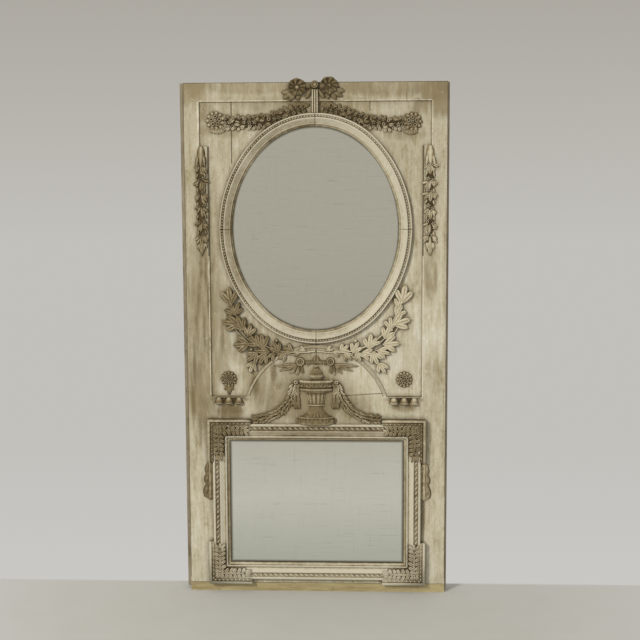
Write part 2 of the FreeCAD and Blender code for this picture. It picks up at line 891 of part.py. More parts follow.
def petals(centre, radius, length, width):
    """Leaves round a centre, their tips at a radius."""
    faces = []
    for number in range(PETALS):
        heading = 360.0 / PETALS * number
        foot = centre + heading_vector(heading) * float(radius - length)
        faces.append(leaf(foot, heading, length, width))
    return faces


# Crest --------------------------------------------------------------------------------------------------

crest_top_half = dim["urn_rim_radius"] + dim["crest_shoulder"]
crest_foot_half = ear_half - dim["ear_arm"]
crest_top = moulding_top + dim["crest_top_rise"]
crest_foot = moulding_top + dim["crest_foot_rise"]


def build_crest():
    half, foot = crest_top_half, crest_foot_half
    top, low, curve = crest_top, crest_foot, dim["crest_curve_radius"]
    front = ground - dim["crest_thickness"]
    plate("crest_backplate", [(-foot, moulding_top), (foot, moulding_top), (foot, low, curve, -1),
                              (half, top), (-half, top, curve, -1), (-foot, low)], front, ground)
    carving("urn", urn_shape(front))
    for side in ("left", "right"):
        carving("crest_garland_" + side, garland_shape(front), side)


def urn_shape(back):
    """Half a turned urn, flattened into relief: base, foot, ring, body, bowl, rim, neck and lid."""
    seat = Vector(0, float(back), 0)
    flattening = float(dim["urn_projection"]) / float(dim["urn_base_radius"])
    rest_of_foot = dim["urn_foot_height"] - dim["urn_hollow_rise"]
    solids = []
    height = moulding_top
    for radius, next_radius, rise in (
            (dim["urn_base_radius"], dim["urn_base_radius"], dim["urn_base_height"]),
            (dim["urn_foot_radius"], dim["urn_hollow_radius"], dim["urn_hollow_rise"]),
            (dim["urn_hollow_radius"], dim["urn_stem_radius"], rest_of_foot),
            (dim["urn_ring_radius"], dim["urn_ring_radius"], dim["urn_ring_height"]),
            (dim["urn_waist_radius"], dim["urn_body_radius"], dim["urn_body_height"]),
            (dim["urn_body_radius"], dim["urn_rim_radius"], dim["urn_bowl_height"]),
            (dim["urn_rim_radius"], dim["urn_rim_radius"], dim["urn_rim_height"]),
            (dim["urn_neck_radius"], dim["urn_neck_radius"], dim["urn_neck_height"]),
            (dim["urn_lid_radius"], dim["urn_tip_radius"], dim["urn_lid_height"])):
        low = half_round(seat, radius, flattening, height, URN_SIDES)
        height = height + rise
        high = half_round(seat, next_radius, flattening, height, URN_SIDES)
        solids.append(frustum(low, high))
    return solids[0].multiFuse(solids[1:]).removeSplitter()


def garland_shape(back):
    """Leaves down the crest's hollow edge, with a bunch that hangs beside the urn."""
    inset = dim["garland_width"] / 4
    start = sheet_point(crest_top_half, crest_top - inset)
    end = sheet_point(crest_foot_half - dim["garland_leaf"], crest_foot + inset)
    radius = float(dim["crest_curve_radius"])
    bulge = -(radius - math.sqrt(radius ** 2 - ((end - start).Length / 2) ** 2))
    length, width = dim["garland_leaf"], dim["garland_leaf_width"]
    turn = float(dim["garland_leaf_angle"])
    faces = [stem(start, end, bulge, dim["garland_stem"])]
    count = int((end - start).Length / float(dim["garland_leaf_pitch"]))
    for number in range(count):
        point, heading = along_arc(start, end, bulge, number / count)
        faces.append(leaf(point, heading + turn, length, width))
        faces.append(leaf(point, heading - turn, length, width))
    drop_length = float(dim["crest_drop_length"])
    lean = float(dim["crest_drop_leaf_angle"])
    drops = [leaf(start, -QUARTER_TURN, drop_length, dim["crest_drop_width"])]
    for share in DROP_SHARES:
        point = start - Vector(0, 0, drop_length * share)
        drops.append(leaf(point, -QUARTER_TURN + lean, length, width))
        drops.append(leaf(point, -QUARTER_TURN - lean, length, width))
    body = relief(faces, back, dim["garland_relief"])
    return body.fuse(relief(drops, back, dim["crest_drop_relief"])).removeSplitter()


# Bow, strap and swags over the oval -----------------------------------------------------------------------

knob_height = face_top - dim["knob_drop"]
bow_height = knob_height - dim["bow_drop"]
strap_top = knob_height - dim["knob_radius"] - dim["strap_drop"]


def bow_shape():
    """Two round loops and two ribbon ends on a band, with a knob in the middle."""
    tie = sheet_point(0, bow_height)
    spread = Vector(float(dim["bow_loop_spread"]), 0, 0)
    droop = float(dim["bow_end_angle"])
    faces = [stem(tie - spread, tie + spread, float(dim["bow_band_sag"]), dim["bow_band"])]
    for centre, heading in ((tie + spread, -droop), (tie - spread, 2 * QUARTER_TURN + droop)):
        faces.append(disc(centre, dim["bow_loop_radius"]).cut(disc(centre, dim["bow_eye_radius"])))
        faces.append(leaf(tie, heading, dim["bow_end_length"], dim["bow_end_width"]))
    knob = relief([disc(sheet_point(0, knob_height), dim["knob_radius"])], ground, dim["knob_relief"])
    return relief(faces, ground, dim["bow_relief"]).fuse(knob).removeSplitter()


def strap_shape():
    """A ribbon that hangs from the bow to the oval, its back stepped over the rail's edge."""
    half = dim["strap_width"] / 2
    foot = oval_top + dim["fit_gap"]
    upper = relief([outline_face(box(-half, half, field_top, strap_top))], ground, dim["strap_relief"])
    lower = relief([outline_face(box(-half, half, foot, field_top))], field,
                   dim["strap_relief"] + dim["field_recess"])
    return upper.fuse(lower).removeSplitter()


def build_top_ornament():
    carving("top_bow", bow_shape())
    carving("ribbon_strap", strap_shape())
    for side in ("left", "right"):
        carving("top_swag_" + side, swag_shape(), side)


def oval_block(height):
    """The space that the oval moulding takes in front of the field boards."""
    return relief([outline_face(oval_outline(dim["oval_moulding_width"] + dim["fit_gap"]))], field, height)


def swag_shape():
    """A rosette with petals, and leaves in pairs that run from it up to the bow."""
    radius, relief_height = dim["swag_rosette_radius"], dim["swag_relief"]
    rosette = sheet_point(top_stile_edge - dim["swag_rosette_margin"], field_top - dim["swag_rosette_drop"])
    start = sheet_point(dim["swag_end_spread"], field_top - dim["swag_end_drop"])
    end = rosette - Vector(float(radius) * ROSETTE_REACH, 0, 0)
    sag, turn = float(dim["swag_sag"]), float(dim["swag_leaf_angle"])
    faces = petals(rosette, radius, radius * PETAL_LENGTH, radius * PETAL_WIDTH)
    faces.append(disc(rosette, radius * ROSETTE_REACH))
    faces.append(stem(start, end, sag, dim["swag_stem"]))
    count = dim["swag_leaf_count"].number
    for number in range(1, count + 1):
        share = number / (count + SWAG_END_SHARE)
        point, heading = along_arc(start, end, sag, share)
        length = float(dim["swag_leaf"]) * (SWAG_TAPER + (1 - SWAG_TAPER) * share)
        for lean in (turn, -turn):
            faces.append(leaf(point, heading + 2 * QUARTER_TURN + lean, length, dim["swag_leaf_width"]))
    boss = relief([disc(rosette, dim["swag_boss_radius"])], field, relief_height + dim["swag_boss_relief"])
    rail = relief([outline_face(box(-top_stile_edge, top_stile_edge, field_top, face_top))], field,
                  relief_height)
    swag = relief(faces, field, relief_height).fuse(boss)
    return swag.cut(oval_block(relief_height)).cut(rail).removeSplitter()


# Drops, sprays and the bow on the arch ---------------------------------------------------------------------

def husk_chain(top, length, count, width, angle, height):
    """Overlapping husks down a line, each a middle leaf between two side leaves."""
    faces = []
    step = float(length) / (count + HUSK_END_SHARE)
    size = step * (1 + HUSK_END_SHARE)
    for number in range(count):
        point = top - Vector(0, 0, step * number)
        swell = HUSK_TAPER + (1 - HUSK_TAPER) * math.sin(math.pi * (number + 1) / (count + 1))
        breadth = float(width) * HUSK_LEAF_SHARE * swell
        faces.append(leaf(point, -QUARTER_TURN, size, breadth))
        for turn in (1, -1):
            heading = -QUARTER_TURN + float(angle) * turn
            faces.append(leaf(point, heading, size * HUSK_SIDE_SHARE, breadth))
    return relief(faces, ground, height)


def build_drops():
    turn = dim["husk_leaf_angle"]
    husk_spread = stile_edge + dim["husk_gap"] + dim["husk_width"] / 2
    scroll_spread = moulding_half + dim["scroll_gap"] + dim["scroll_width"] / 2
    scroll_top = ear_top - dim["ear_arm"] - dim["scroll_drop"]
    for side in ("left", "right"):
        husks = husk_chain(sheet_point(husk_spread, field_step), dim["husk_length"],
                           dim["husk_count"].number, dim["husk_width"], turn, dim["husk_relief"])
        carving("husk_drop_" + side, husks, side)
        scroll = husk_chain(sheet_point(scroll_spread, scroll_top), dim["scroll_length"],
                            dim["scroll_count"].number, dim["scroll_width"], turn, dim["scroll_relief"])
        carving("side_scroll_" + side, scroll, side)


def spray_shape():
    """A laurel branch under the oval, its back scribed over the arch's edge."""
    foot = arch_top - dim["spray_drop"]
    start = sheet_point(dim["fit_gap"] * 2, foot)
    end = sheet_point(stile_edge - dim["spray_margin"], foot + dim["spray_rise"])
    bulge, turn = float(dim["spray_bulge"]), float(dim["spray_leaf_angle"])
    faces = [stem(start, end, bulge, dim["spray_stem"])]
    count = dim["spray_leaf_count"].number
    for number in range(1, count + 1):
        point, heading = along_arc(start, end, bulge, number / (count + 1))
        faces.append(leaf(point, heading - turn, dim["spray_leaf"], dim["spray_leaf_width"]))
        faces.append(leaf(point, heading + turn, dim["spray_inner_leaf"], dim["spray_inner_width"]))
    point, heading = along_arc(start, end, bulge, SPRAY_TIP_SHARE)
    faces.append(leaf(point, heading, dim["spray_inner_leaf"], dim["spray_inner_width"]))
    height = dim["spray_relief"] + dim["field_recess"]
    arch = Part.makeCylinder(float(dim["arch_radius"] + dim["fit_gap"]), float(dim["field_recess"]),
                             Vector(0, float(ground), float(arch_centre)), Vector(0, 1, 0))
    return relief(faces, field, height).cut(arch).cut(oval_block(height)).removeSplitter()


def arch_bow_shape():
    """A bud over a band between two rings, with a long and a short ribbon end at each ring."""
    tie = sheet_point(0, knot_height)
    spread = Vector(float(dim["knot_ring_spread"]), 0, 0)
    bud_foot = tie - Vector(0, 0, float(dim["knot_bud_drop"]))
    faces = [leaf(bud_foot, QUARTER_TURN, dim["knot_bud_length"], dim["knot_tail_width"]),
             stem(tie - spread, tie + spread, float(dim["knot_band_sag"]), dim["knot_band"])]
    droop, hang = float(dim["knot_tail_angle"]), float(dim["knot_end_angle"])
    for centre, long_heading, short_heading in (
            (tie + spread, -droop, -hang),
            (tie - spread, 2 * QUARTER_TURN + droop, 2 * QUARTER_TURN + hang)):
        faces.append(disc(centre, dim["knot_ring_radius"]).cut(disc(centre, dim["knot_ring_hole"])))
        point = centre - Vector(0, 0, float(dim["knot_tail_drop"]))
        faces.append(leaf(point, long_heading, dim["knot_tail_length"], dim["knot_tail_width"]))
        faces.append(leaf(point, short_heading, dim["knot_end_length"], dim["knot_end_width"]))
    return relief(faces, ground, dim["knot_relief"])


def build_arch_ornament():
    for side in ("left", "right"):
        carving("laurel_spray_" + side, spray_shape(), side)
    carving("arch_bow", arch_bow_shape())


# Paterae and guttae -----------------------------------------------------------------------------------------

pilaster_middle = (stile_edge + arch_reach(dim["arch_radius"], field_foot)) / 2
patera_height = field_foot + dim["patera_rise"]


def patera_stem():
    """The tapered foot of the patera's leaf."""
    half_top, half_foot = dim["patera_stem_top"] / 2, dim["patera_stem_foot"] / 2
    top = patera_height - dim["patera_radius"] + dim["patera_stem_overlap"]
    low = field_foot + dim["patera_foot_margin"]
    return outline_face([(pilaster_middle - half_foot, low), (pilaster_middle + half_foot, low),
                         (pilaster_middle + half_top, top), (pilaster_middle - half_top, top)])


def patera_shape(with_stem):
    """A rosette of petals round a boss; one of the two has kept its stem."""
    centre, radius = sheet_point(pilaster_middle, patera_height), dim["patera_radius"]
    faces = petals(centre, radius, dim["patera_petal"], dim["patera_petal_width"])
    faces.append(disc(centre, radius - dim["patera_petal"] / 2))
    if with_stem:
        faces.append(patera_stem())
    boss = relief([disc(centre, dim["patera_boss_radius"])], field,
                  dim["patera_relief"] + dim["patera_boss_relief"])
    return relief(faces, field, dim["patera_relief"]).fuse(boss).removeSplitter()


def build_pilaster_ornament():
    for side in ("left", "right"):
        carving("patera_" + side, patera_shape(side == "left"), side)
        carving("guttae_" + side, guttae_shape(), side)


def guttae_shape():
    """Tapered drops in a row under a strip."""
    pitch, count = dim["gutta_pitch"], dim["gutta_count"].number
    top_radius, foot_radius = dim["gutta_top_radius"], dim["gutta_foot_radius"]
    strip_foot = field_foot - dim["gutta_strip_height"]
    drop_foot = field_foot - dim["gutta_height"]
    first = pilaster_middle - pitch * (count - 1) / 2
    last = first + pitch * (count - 1)
    strip = outline_face(box(first - foot_radius, last + foot_radius, strip_foot, field_foot))
    solids = [relief([strip], ground, top_radius)]
    for number in range(count):
        seat = Vector(float(first + pitch * number), float(ground), 0)
        low = half_round(seat, foot_radius, 1, drop_foot, GUTTA_SIDES)
        solids.append(frustum(low, half_round(seat, top_radius, 1, strip_foot, GUTTA_SIDES)))
    return solids[0].multiFuse(solids[1:]).removeSplitter()


# Check and write --------------------------------------------------------------------------------------

def check_all():
    doc.recompute()
    for item in doc.Objects:
        bad = [word for word in item.State if word in ("Invalid", "Error")]
        if bad:
            raise RuntimeError(item.Label + " is " + ", ".join(bad))
        if item.TypeId == "PartDesign::Pocket":
            if item.Shape.Volume >= item.BaseFeature.Shape.Volume:
                raise RuntimeError(item.Label + " cuts nothing")
    for node in nodes:
        if node.Shape.isNull() or not node.Shape.isValid():
            raise RuntimeError(node.Label + " has no valid shape")


def write_parts():
    os.makedirs("parts", exist_ok=True)
    for node in nodes:
        node.Shape.exportStep("parts/" + node.Label + ".step")
        bounds = node.Shape.BoundBox
        print("%-28s %2d %10.0f mm3  x %7.1f %7.1f  y %6.1f %6.1f  z %7.1f %7.1f" % (
            node.Label, len(node.Shape.Solids), node.Shape.Volume, bounds.XMin, bounds.XMax,
            bounds.YMin, bounds.YMax, bounds.ZMin, bounds.ZMax))


build_rear_frame()
build_ground()
build_field()
build_mouldings()
build_mirrors()
build_blocks()
build_crest()
build_top_ornament()
build_drops()
build_arch_ornament()
build_pilaster_ornament()
check_all()
write_parts()
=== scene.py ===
import json
import random
from math import asin, atan2, cos, degrees, exp, hypot, pi, radians, sin, sqrt

import bpy
from mathutils import Matrix, Vector


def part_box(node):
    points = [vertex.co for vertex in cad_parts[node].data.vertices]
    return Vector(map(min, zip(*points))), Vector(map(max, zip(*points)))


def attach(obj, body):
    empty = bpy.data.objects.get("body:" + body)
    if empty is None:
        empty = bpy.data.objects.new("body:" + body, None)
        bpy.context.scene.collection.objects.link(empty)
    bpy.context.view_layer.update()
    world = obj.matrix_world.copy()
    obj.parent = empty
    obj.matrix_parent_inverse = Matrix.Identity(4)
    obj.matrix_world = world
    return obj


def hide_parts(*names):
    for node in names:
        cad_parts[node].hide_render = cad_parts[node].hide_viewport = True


# A painted trumeau mirror: carved ornament, mouldings, old glass and worn paint on the frame's solids.
# Carving sizes are millimetres on the face of the boards: x to the right, z up, height towards the viewer.
# Headings are degrees from the right, turning upwards. Colours are sRGB, 0 to 255.

MM = 0.001
SIDES = ("right", "left")

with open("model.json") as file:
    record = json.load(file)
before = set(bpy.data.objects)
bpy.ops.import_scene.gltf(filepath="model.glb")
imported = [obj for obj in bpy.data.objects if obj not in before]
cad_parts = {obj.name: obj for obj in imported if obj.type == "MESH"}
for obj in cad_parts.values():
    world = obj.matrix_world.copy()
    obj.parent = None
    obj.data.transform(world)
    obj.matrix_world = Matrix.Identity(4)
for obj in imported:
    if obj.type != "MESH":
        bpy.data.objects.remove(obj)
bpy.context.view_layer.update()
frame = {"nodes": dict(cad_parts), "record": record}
nodes = frame["nodes"]
chance = random.Random(11)


# Places taken from the frame --------------------------------------------------------------------------------

def span(name):
    """Lowest and highest corner of a node in millimetres."""
    low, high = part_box(name)
    return low / MM, high / MM


GROUND = span("left_face_stile")[0].y
FIELD = span("field_top_board")[0].y
FIELD_FOOT = span("field_left_board")[0].z
ARCH_TOP = span("arched_board")[1].z
ARCH_CENTRE = 767.0
SIGHT_LOW, SIGHT_HIGH = span("lower_frame_bottom")[1].z, span("lower_frame_top")[0].z
SIGHT_HALF = span("lower_frame_right")[0].x
SIGHT_MIDDLE, SIGHT_RISE = (SIGHT_LOW + SIGHT_HIGH) / 2, (SIGHT_HIGH - SIGHT_LOW) / 2
MOULDING_TOP = span("lower_frame_top")[1].z
EAR_HALF, EAR_TOP = span("corner_ear_top_right")[1].x, span("corner_ear_top_right")[1].z
EAR_FOOT = span("corner_ear_bottom_right")[0].z
EAR_FRONT = span("corner_ear_top_right")[0].y
CREST_FRONT = span("crest_backplate")[0].y

# The oval sight, drawn from four centres as in the solids
OVAL_CENTRE = (span("oval_glass")[0].z + span("oval_glass")[1].z) / 2
OVAL_LAP = 11.5
OVAL_HALF_WIDTH = span("oval_glass")[1].x - OVAL_LAP
OVAL_HALF_HEIGHT = span("oval_glass")[1].z - OVAL_CENTRE - OVAL_LAP
OVAL_END_RADIUS = 300.0
END_CENTRE = OVAL_HALF_HEIGHT - OVAL_END_RADIUS
END_MARGIN = OVAL_HALF_WIDTH - OVAL_END_RADIUS
SIDE_CENTRE = (END_CENTRE ** 2 - END_MARGIN ** 2) / (2 * END_MARGIN)
SIDE_RADIUS = OVAL_HALF_WIDTH + SIDE_CENTRE
JOIN_ANGLE = atan2(END_CENTRE, SIDE_CENTRE)


# Camera -----------------------------------------------------------------------------------------------------

CAMERA_PLACE = Vector((0.233, -5.056, 1.787))
CAMERA_YAW, CAMERA_PITCH, CAMERA_ROLL = (radians(turn) for turn in (-2.45, 6.77, -0.25))
LENS, SENSOR = 67.5, 36.0


def place_camera():
    forward = Vector((sin(CAMERA_YAW) * cos(CAMERA_PITCH), cos(CAMERA_YAW) * cos(CAMERA_PITCH),
                      -sin(CAMERA_PITCH)))
    level = Vector((cos(CAMERA_YAW), -sin(CAMERA_YAW), 0))
    rise = level.cross(forward)
    right = level * cos(CAMERA_ROLL) + rise * sin(CAMERA_ROLL)
    up = rise * cos(CAMERA_ROLL) - level * sin(CAMERA_ROLL)
    data = bpy.data.cameras.new("camera")
    data.lens, data.sensor_width = LENS, SENSOR
    camera = bpy.data.objects.new("camera", data)
    turn = Matrix((right, up, -forward)).transposed().to_4x4()
    camera.matrix_world = Matrix.Translation(CAMERA_PLACE) @ turn
    bpy.context.scene.collection.objects.link(camera)
    bpy.context.scene.camera = camera


# Node trees -------------------------------------------------------------------------------------------------

def linear(colour):
    """An sRGB colour as the shader's linear colour."""
    shares = [part / 255 for part in colour]
    return tuple(s / 12.92 if s <= 0.04045 else ((s + 0.055) / 1.055) ** 2.4 for s in shares) + (1.0,)


class Value:
    """A number that varies over a surface; it adds, subtracts and multiplies as a plain one does."""

    def __init__(self, net, socket):
        self.net, self.socket = net, socket

    def join(self, operation, *others, clamp=False):
        return self.net.math(operation, self, *others, clamp=clamp)

    def __add__(self, other):
        return self.join("ADD", other)

    def __sub__(self, other):
        return self.join("SUBTRACT", other)

    def __mul__(self, other):
        return self.join("MULTIPLY", other)

    def __abs__(self):
        return self.join("ABSOLUTE")

    def most(self, other, clamp=False):
        """The larger of two numbers."""
        return self.join("MAXIMUM", other, clamp=clamp)


class Nodes:
    """Short names for building a node tree."""

    def __init__(self, tree):
        self.tree = tree
        tree.nodes.clear()

    def add(self, kind, *links, **settings):
        """A node; links feed its inputs in order, each a Value, a socket, a plain value or None."""
        node = self.tree.nodes.new(kind)
        for name, value in settings.items():
            setattr(node, name, value)
        for socket, link in zip(node.inputs, links):
            self.feed(socket, link)
        return node

    def feed(self, socket, link):
        link = link.socket if isinstance(link, Value) else link
        if isinstance(link, bpy.types.NodeSocket):
            self.tree.links.new(link, socket)
        elif link is not None:
            socket.default_value = link

    def value(self, kind, output, *links, **settings):
        """One output of a new node, as a Value."""
        return Value(self, self.add(kind, *links, **settings).outputs[output])

    def math(self, operation, *links, clamp=False):
        return self.value("ShaderNodeMath", 0, *links, operation=operation, use_clamp=clamp)

    def parts(self, vector):
        """A vector's three numbers."""
        return [Value(self, part) for part in self.add("ShaderNodeSeparateXYZ", vector).outputs]

    def mix(self, share, first, second):
        """A share of the second colour over the first."""
        node = self.add("ShaderNodeMix", data_type="RGBA")
        second = linear(second) if isinstance(second, tuple) else second
        sockets = {socket.identifier: socket for socket in (*node.inputs, *node.outputs)}
        for name, link in (("Factor_Float", share), ("A_Color", first), ("B_Color", second)):
            self.feed(sockets[name], link)
        return sockets["Result_Color"]

    def ramp(self, share, *stops):
        """A colour ramp; stops are (place, colour)."""
        node = self.add("ShaderNodeValToRGB", share)
        elements = node.color_ramp.elements
        while len(elements) < len(stops):
            elements.new(1.0)
        for element, (place, colour) in zip(elements, stops):
            element.position = place
            element.color = linear(colour)
        return node.outputs["Color"]

    def band(self, value, low, high, floor=0.0, top=1.0):
        """A value spread from low..high to floor..top, smoothly and within those ends."""
        return self.value("ShaderNodeMapRange", 0, value, low, high, floor, top,
                          interpolation_type="SMOOTHSTEP")

    def noise(self, place, scale, detail=3.0, rough=0.55, stretch=(1, 1, 1), warp=0.0):
        mapping = self.add("ShaderNodeMapping", place)
        mapping.inputs["Scale"].default_value = stretch
        node = self.add("ShaderNodeTexNoise", mapping.outputs[0])
        for name, value in (("Scale", scale), ("Detail", detail), ("Roughness", rough), ("Distortion", warp)):
            node.inputs[name].default_value = value
        return Value(self, node.outputs[0])

    def reach(self, place, middle=(0, 0, 0), scale=(1, 1, 1)):
        """How far a place is from a middle, with each axis scaled."""
        for operation, amount in (("SUBTRACT", middle), ("MULTIPLY", scale)):
            place = self.add("ShaderNodeVectorMath", place, amount, operation=operation).outputs[0]
        return self.value("ShaderNodeVectorMath", "Value", place, operation="LENGTH")

    def hollow(self, distance, low, high, top):
        """top where the surface lies in a hollow, and 0 where it is open; used to paint shade into hollows.
        """
        node = self.add("ShaderNodeAmbientOcclusion", samples=4)
        node.inputs["Distance"].default_value = distance
        return self.band(node.outputs["AO"], low, high, top, 0.0)

    def bump(self, shader, height, strength):
        """Raise the shader's surface by a height that the light catches."""
        relief = self.add("ShaderNodeBump")
        relief.inputs["Strength"].default_value = strength
        relief.inputs["Distance"].default_value = MM
        self.feed(relief.inputs["Height"], height)
        self.feed(shader.inputs["Normal"], relief.outputs[0])


def new_material(name):
    """A material, its empty node tree, and the place on the object as its source."""
    material = bpy.data.materials.new(name)
    material.use_nodes = True
    net = Nodes(material.node_tree)
    return material, net, net.add("ShaderNodeTexCoord").outputs["Object"]


# Stage and light --------------------------------------------------------------------------------------------

ROOM_COLOUR = (200, 198, 192)
# Painted shade and light: the backdrop wall darkens towards its top and brightens towards its foot.
WALL_FOOT, WALL_MIDDLE, WALL_TOP = (202, 200, 197), (194, 192, 187), (172, 168, 160)
FLOOR_PAINT = ((0.3, (187, 185, 177)), (0.7, (190, 188, 181)))
FLOOR_HALF = 30.0
WALL_LINE, WALL_BLUR = 0.085, 0.03
FLOOR_FADE = (0.8, 2.4)
WORLD_LIGHT = 0.62

# Lamps: place, aim, size, power, colour
LAMPS = {
    "key": ((-7.6, -10.4, 7.6), (0, 0, 1.0), 2.6, 1400, (1.0, 0.985, 0.965)),
    "fill": ((4.0, -5.0, 0.9), (0, 0, 0.6), 3.0, 62, (0.98, 0.985, 1.0)),
}


def build_floor():
    """A pale floor that the camera sees fade into a plain wall."""
    corners = [(x * FLOOR_HALF, y * FLOOR_HALF, 0) for x, y in ((-1, -1), (1, -1), (1, 1), (-1, 1))]
    mesh = bpy.data.meshes.new("floor")
    mesh.from_pydata(corners, [], [(0, 1, 2, 3)])
    floor = bpy.data.objects.new("floor", mesh)
    bpy.context.scene.collection.objects.link(floor)
    material, net, place = new_material("floor")
    paint = net.ramp(net.noise(place, 5.0, 4.0), *FLOOR_PAINT)
    lit = net.add("ShaderNodeBsdfDiffuse", paint).outputs[0]
    depth = net.parts(place)[1]
    near = net.math("DIVIDE", -CAMERA_PLACE.y, abs(depth - CAMERA_PLACE.y))
    wall = net.ramp(near, (0.15, WALL_MIDDLE), (0.6, WALL_MIDDLE), (1.0, WALL_FOOT))
    path = net.add("ShaderNodeLightPath").outputs
    glow = net.add("ShaderNodeEmission", net.mix(path["Is Glossy Ray"], wall, ROOM_COLOUR), 1.0).outputs[0]
    behind = net.band(depth, WALL_LINE, WALL_LINE + WALL_BLUR).most(net.band(net.reach(place), *FLOOR_FADE))
    plain = (behind * path["Is Camera Ray"]).most(path["Is Glossy Ray"])
    net.add("ShaderNodeOutputMaterial", net.add("ShaderNodeMixShader", plain, lit, glow).outputs[0])
    mesh.materials.append(material)


def build_world():
    """Even light all round, and a plain wall for the camera and the mirrors to see."""
    world = bpy.data.worlds.new("world")
    bpy.context.scene.world = world
    world.use_nodes = True
    net = Nodes(world.node_tree)
    path = net.add("ShaderNodeLightPath").outputs
    seen = net.math("MAXIMUM", path["Is Glossy Ray"], path["Is Transmission Ray"])
    rise = net.parts(net.add("ShaderNodeTexCoord").outputs["Generated"])[2]
    wall = net.ramp(rise + 0.05, (0.0, WALL_MIDDLE), (0.2, WALL_TOP))
    shown = net.add("ShaderNodeBackground", net.mix(seen, wall, ROOM_COLOUR), 1.0).outputs[0]
    light = net.add("ShaderNodeBackground", (1.0, 0.985, 0.96, 1.0), WORLD_LIGHT).outputs[0]
    seen = seen.most(path["Is Camera Ray"])
    net.add("ShaderNodeOutputWorld", net.add("ShaderNodeMixShader", seen, light, shown).outputs[0])


def add_lamp(name, place, aim, size, power, colour):
    data = bpy.data.lights.new(name, "AREA")
    data.shape, data.size, data.energy, data.color = "DISK", size, power, colour
    lamp = bpy.data.objects.new(name, data)
    lamp.rotation_euler = (Vector(aim) - Vector(place)).to_track_quat("-Z", "Y").to_euler()
    lamp.location = place
    lamp.visible_glossy = False
    bpy.context.scene.collection.objects.link(lamp)


# Paint on the boards ----------------------------------------------------------------------------------------

# Broad darkening and smaller stains: middle x and z, half width, half height, strength
# Most is old dirt; the widest patch is painted shade over the upper half, and the tall one darkens the left.
SHADE = (
    (-560, 2190, 130, 110, 1.1), (540, 2160, 110, 130, 1.4), (-260, 2160, 300, 34, 0.65),
    (300, 2160, 260, 50, 0.95), (-470, 1250, 90, 360, 0.78), (-490, 900, 70, 200, 0.95),
    (0, 850, 150, 130, 1.15), (-130, 850, 150, 110, 0.95), (120, 810, 110, 70, 0.8),
    (-200, 930, 150, 110, 0.62), (-420, 1080, 70, 200, 0.65), (-430, 1560, 40, 300, 0.6),
    (0, 2090, 400, 50, 0.65), (500, 1560, 60, 420, 0.1), (0, 60, 520, 26, 0.12), (0, 1010, 130, 50, 0.55),
    (0, 2350, 1100, 800, 0.36), (-620, 1500, 260, 900, 0.36), (500, 900, 60, 180, 0.25),
    (400, 1080, 60, 120, 0.15), (0, 1080, 320, 60, 0.3), (-290, 1040, 90, 60, 0.6), (-420, 790, 90, 60, 0.5),
)
# Level with the guttae (x near ±374, z near 846) the stains are dirt and painted shade between the drops.
STAINS = (
    (-100, 2110, 60, 30, 0.9), (110, 2110, 60, 30, 0.85), (-455, 2060, 50, 50, 0.7),
    (450, 2078, 70, 46, 0.9), (-370, 1985, 130, 40, 0.7), (375, 1975, 130, 44, 0.7),
    (-540, 1180, 10, 260, 0.7), (480, 1380, 30, 110, 0.7), (-372, 792, 62, 36, 1.4),
    (-372, 846, 72, 14, 1.4), (376, 846, 68, 14, 1.3), (378, 812, 62, 18, 0.9), (-300, 1130, 110, 100, 0.45),
    (-245, 880, 40, 40, 0.4), (0, 2060, 60, 26, 0.8), (-545, 1650, 8, 380, 0.5), (546, 1250, 7, 800, 0.35),
    (-450, 1400, 8, 420, 0.5),
)

# Narrow dark drips and dark patches, given in the same way
# Level with the guttae (z near 846) the drips also stand for dirt and painted shade between the drops.
DRIPS = (
    (-488, 1400, 8, 70, 1.0), (-496, 1290, 8, 90, 0.9), (-506, 1150, 9, 110, 0.8), (-466, 1400, 6, 70, 0.9),
    (-456, 1290, 6, 90, 0.7), (-520, 1000, 7, 120, 0.7), (-262, 905, 19, 48, 1.0), (-180, 957, 14, 42, 0.9),
    (-458, 470, 9, 130, 0.6), (458, 350, 9, 110, 1.0), (-500, 700, 8, 60, 0.7), (-528, 830, 9, 90, 0.8),
    (-372, 800, 60, 24, 0.9), (-372, 846, 76, 12, 1.0), (376, 846, 74, 12, 1.0), (378, 816, 56, 10, 0.6),
    (-400, 1100, 10, 60, 0.5), (-330, 1110, 12, 50, 0.5), (-240, 1010, 16, 20, 0.5), (505, 1360, 8, 60, 0.4),
    (515, 2150, 70, 56, 0.4), (-476, 1150, 7, 110, 0.6), (-440, 1500, 6, 200, 0.3),
)

# Joints and cracks: start x and z, end x and z, width
CRACKS = (
    (-350, 1845, -350, 2102, 4.0), (228, 2062, 228, 2102, 4.0), (-196, 1012, -196, 1049, 3.4),
    (379, 2100, 381, 2150, 1.2), (123, 863, 289, 874, 3.2), (0.5, 1040, 0.5, 1088, 3.4),
    (-449, 859, -300, 859, 1.6), (300, 859, 449, 859, 1.6), (-550, 2179, 550, 2179, 2.6),
    (-549, 60, -549, 2180, 2.4), (549, 60, 549, 2180, 1.6), (-451, 1459, -451, 1918, 5),
    (451, 1459, 451, 1918, 5), (-550, 37, 550, 37, 2.4), (450, 130, 450, 400, 2.6),
    (540, 590, 541, 900, 1.0),
)

# Edges rubbed bright, just outside the recess, given in the same way
ARRISES = (
    (-452, 862, -452, 1440, 3.4), (452, 862, 452, 1440, 3.4), (-489, 1920, -489, 2103, 7),
    (487.5, 1920, 487.5, 2103, 4), (-485, 2104.5, -120, 2104.5, 3.6), (120, 2104.5, 485, 2104.5, 3),
)
ARCH_GROOVE_INSET = 14

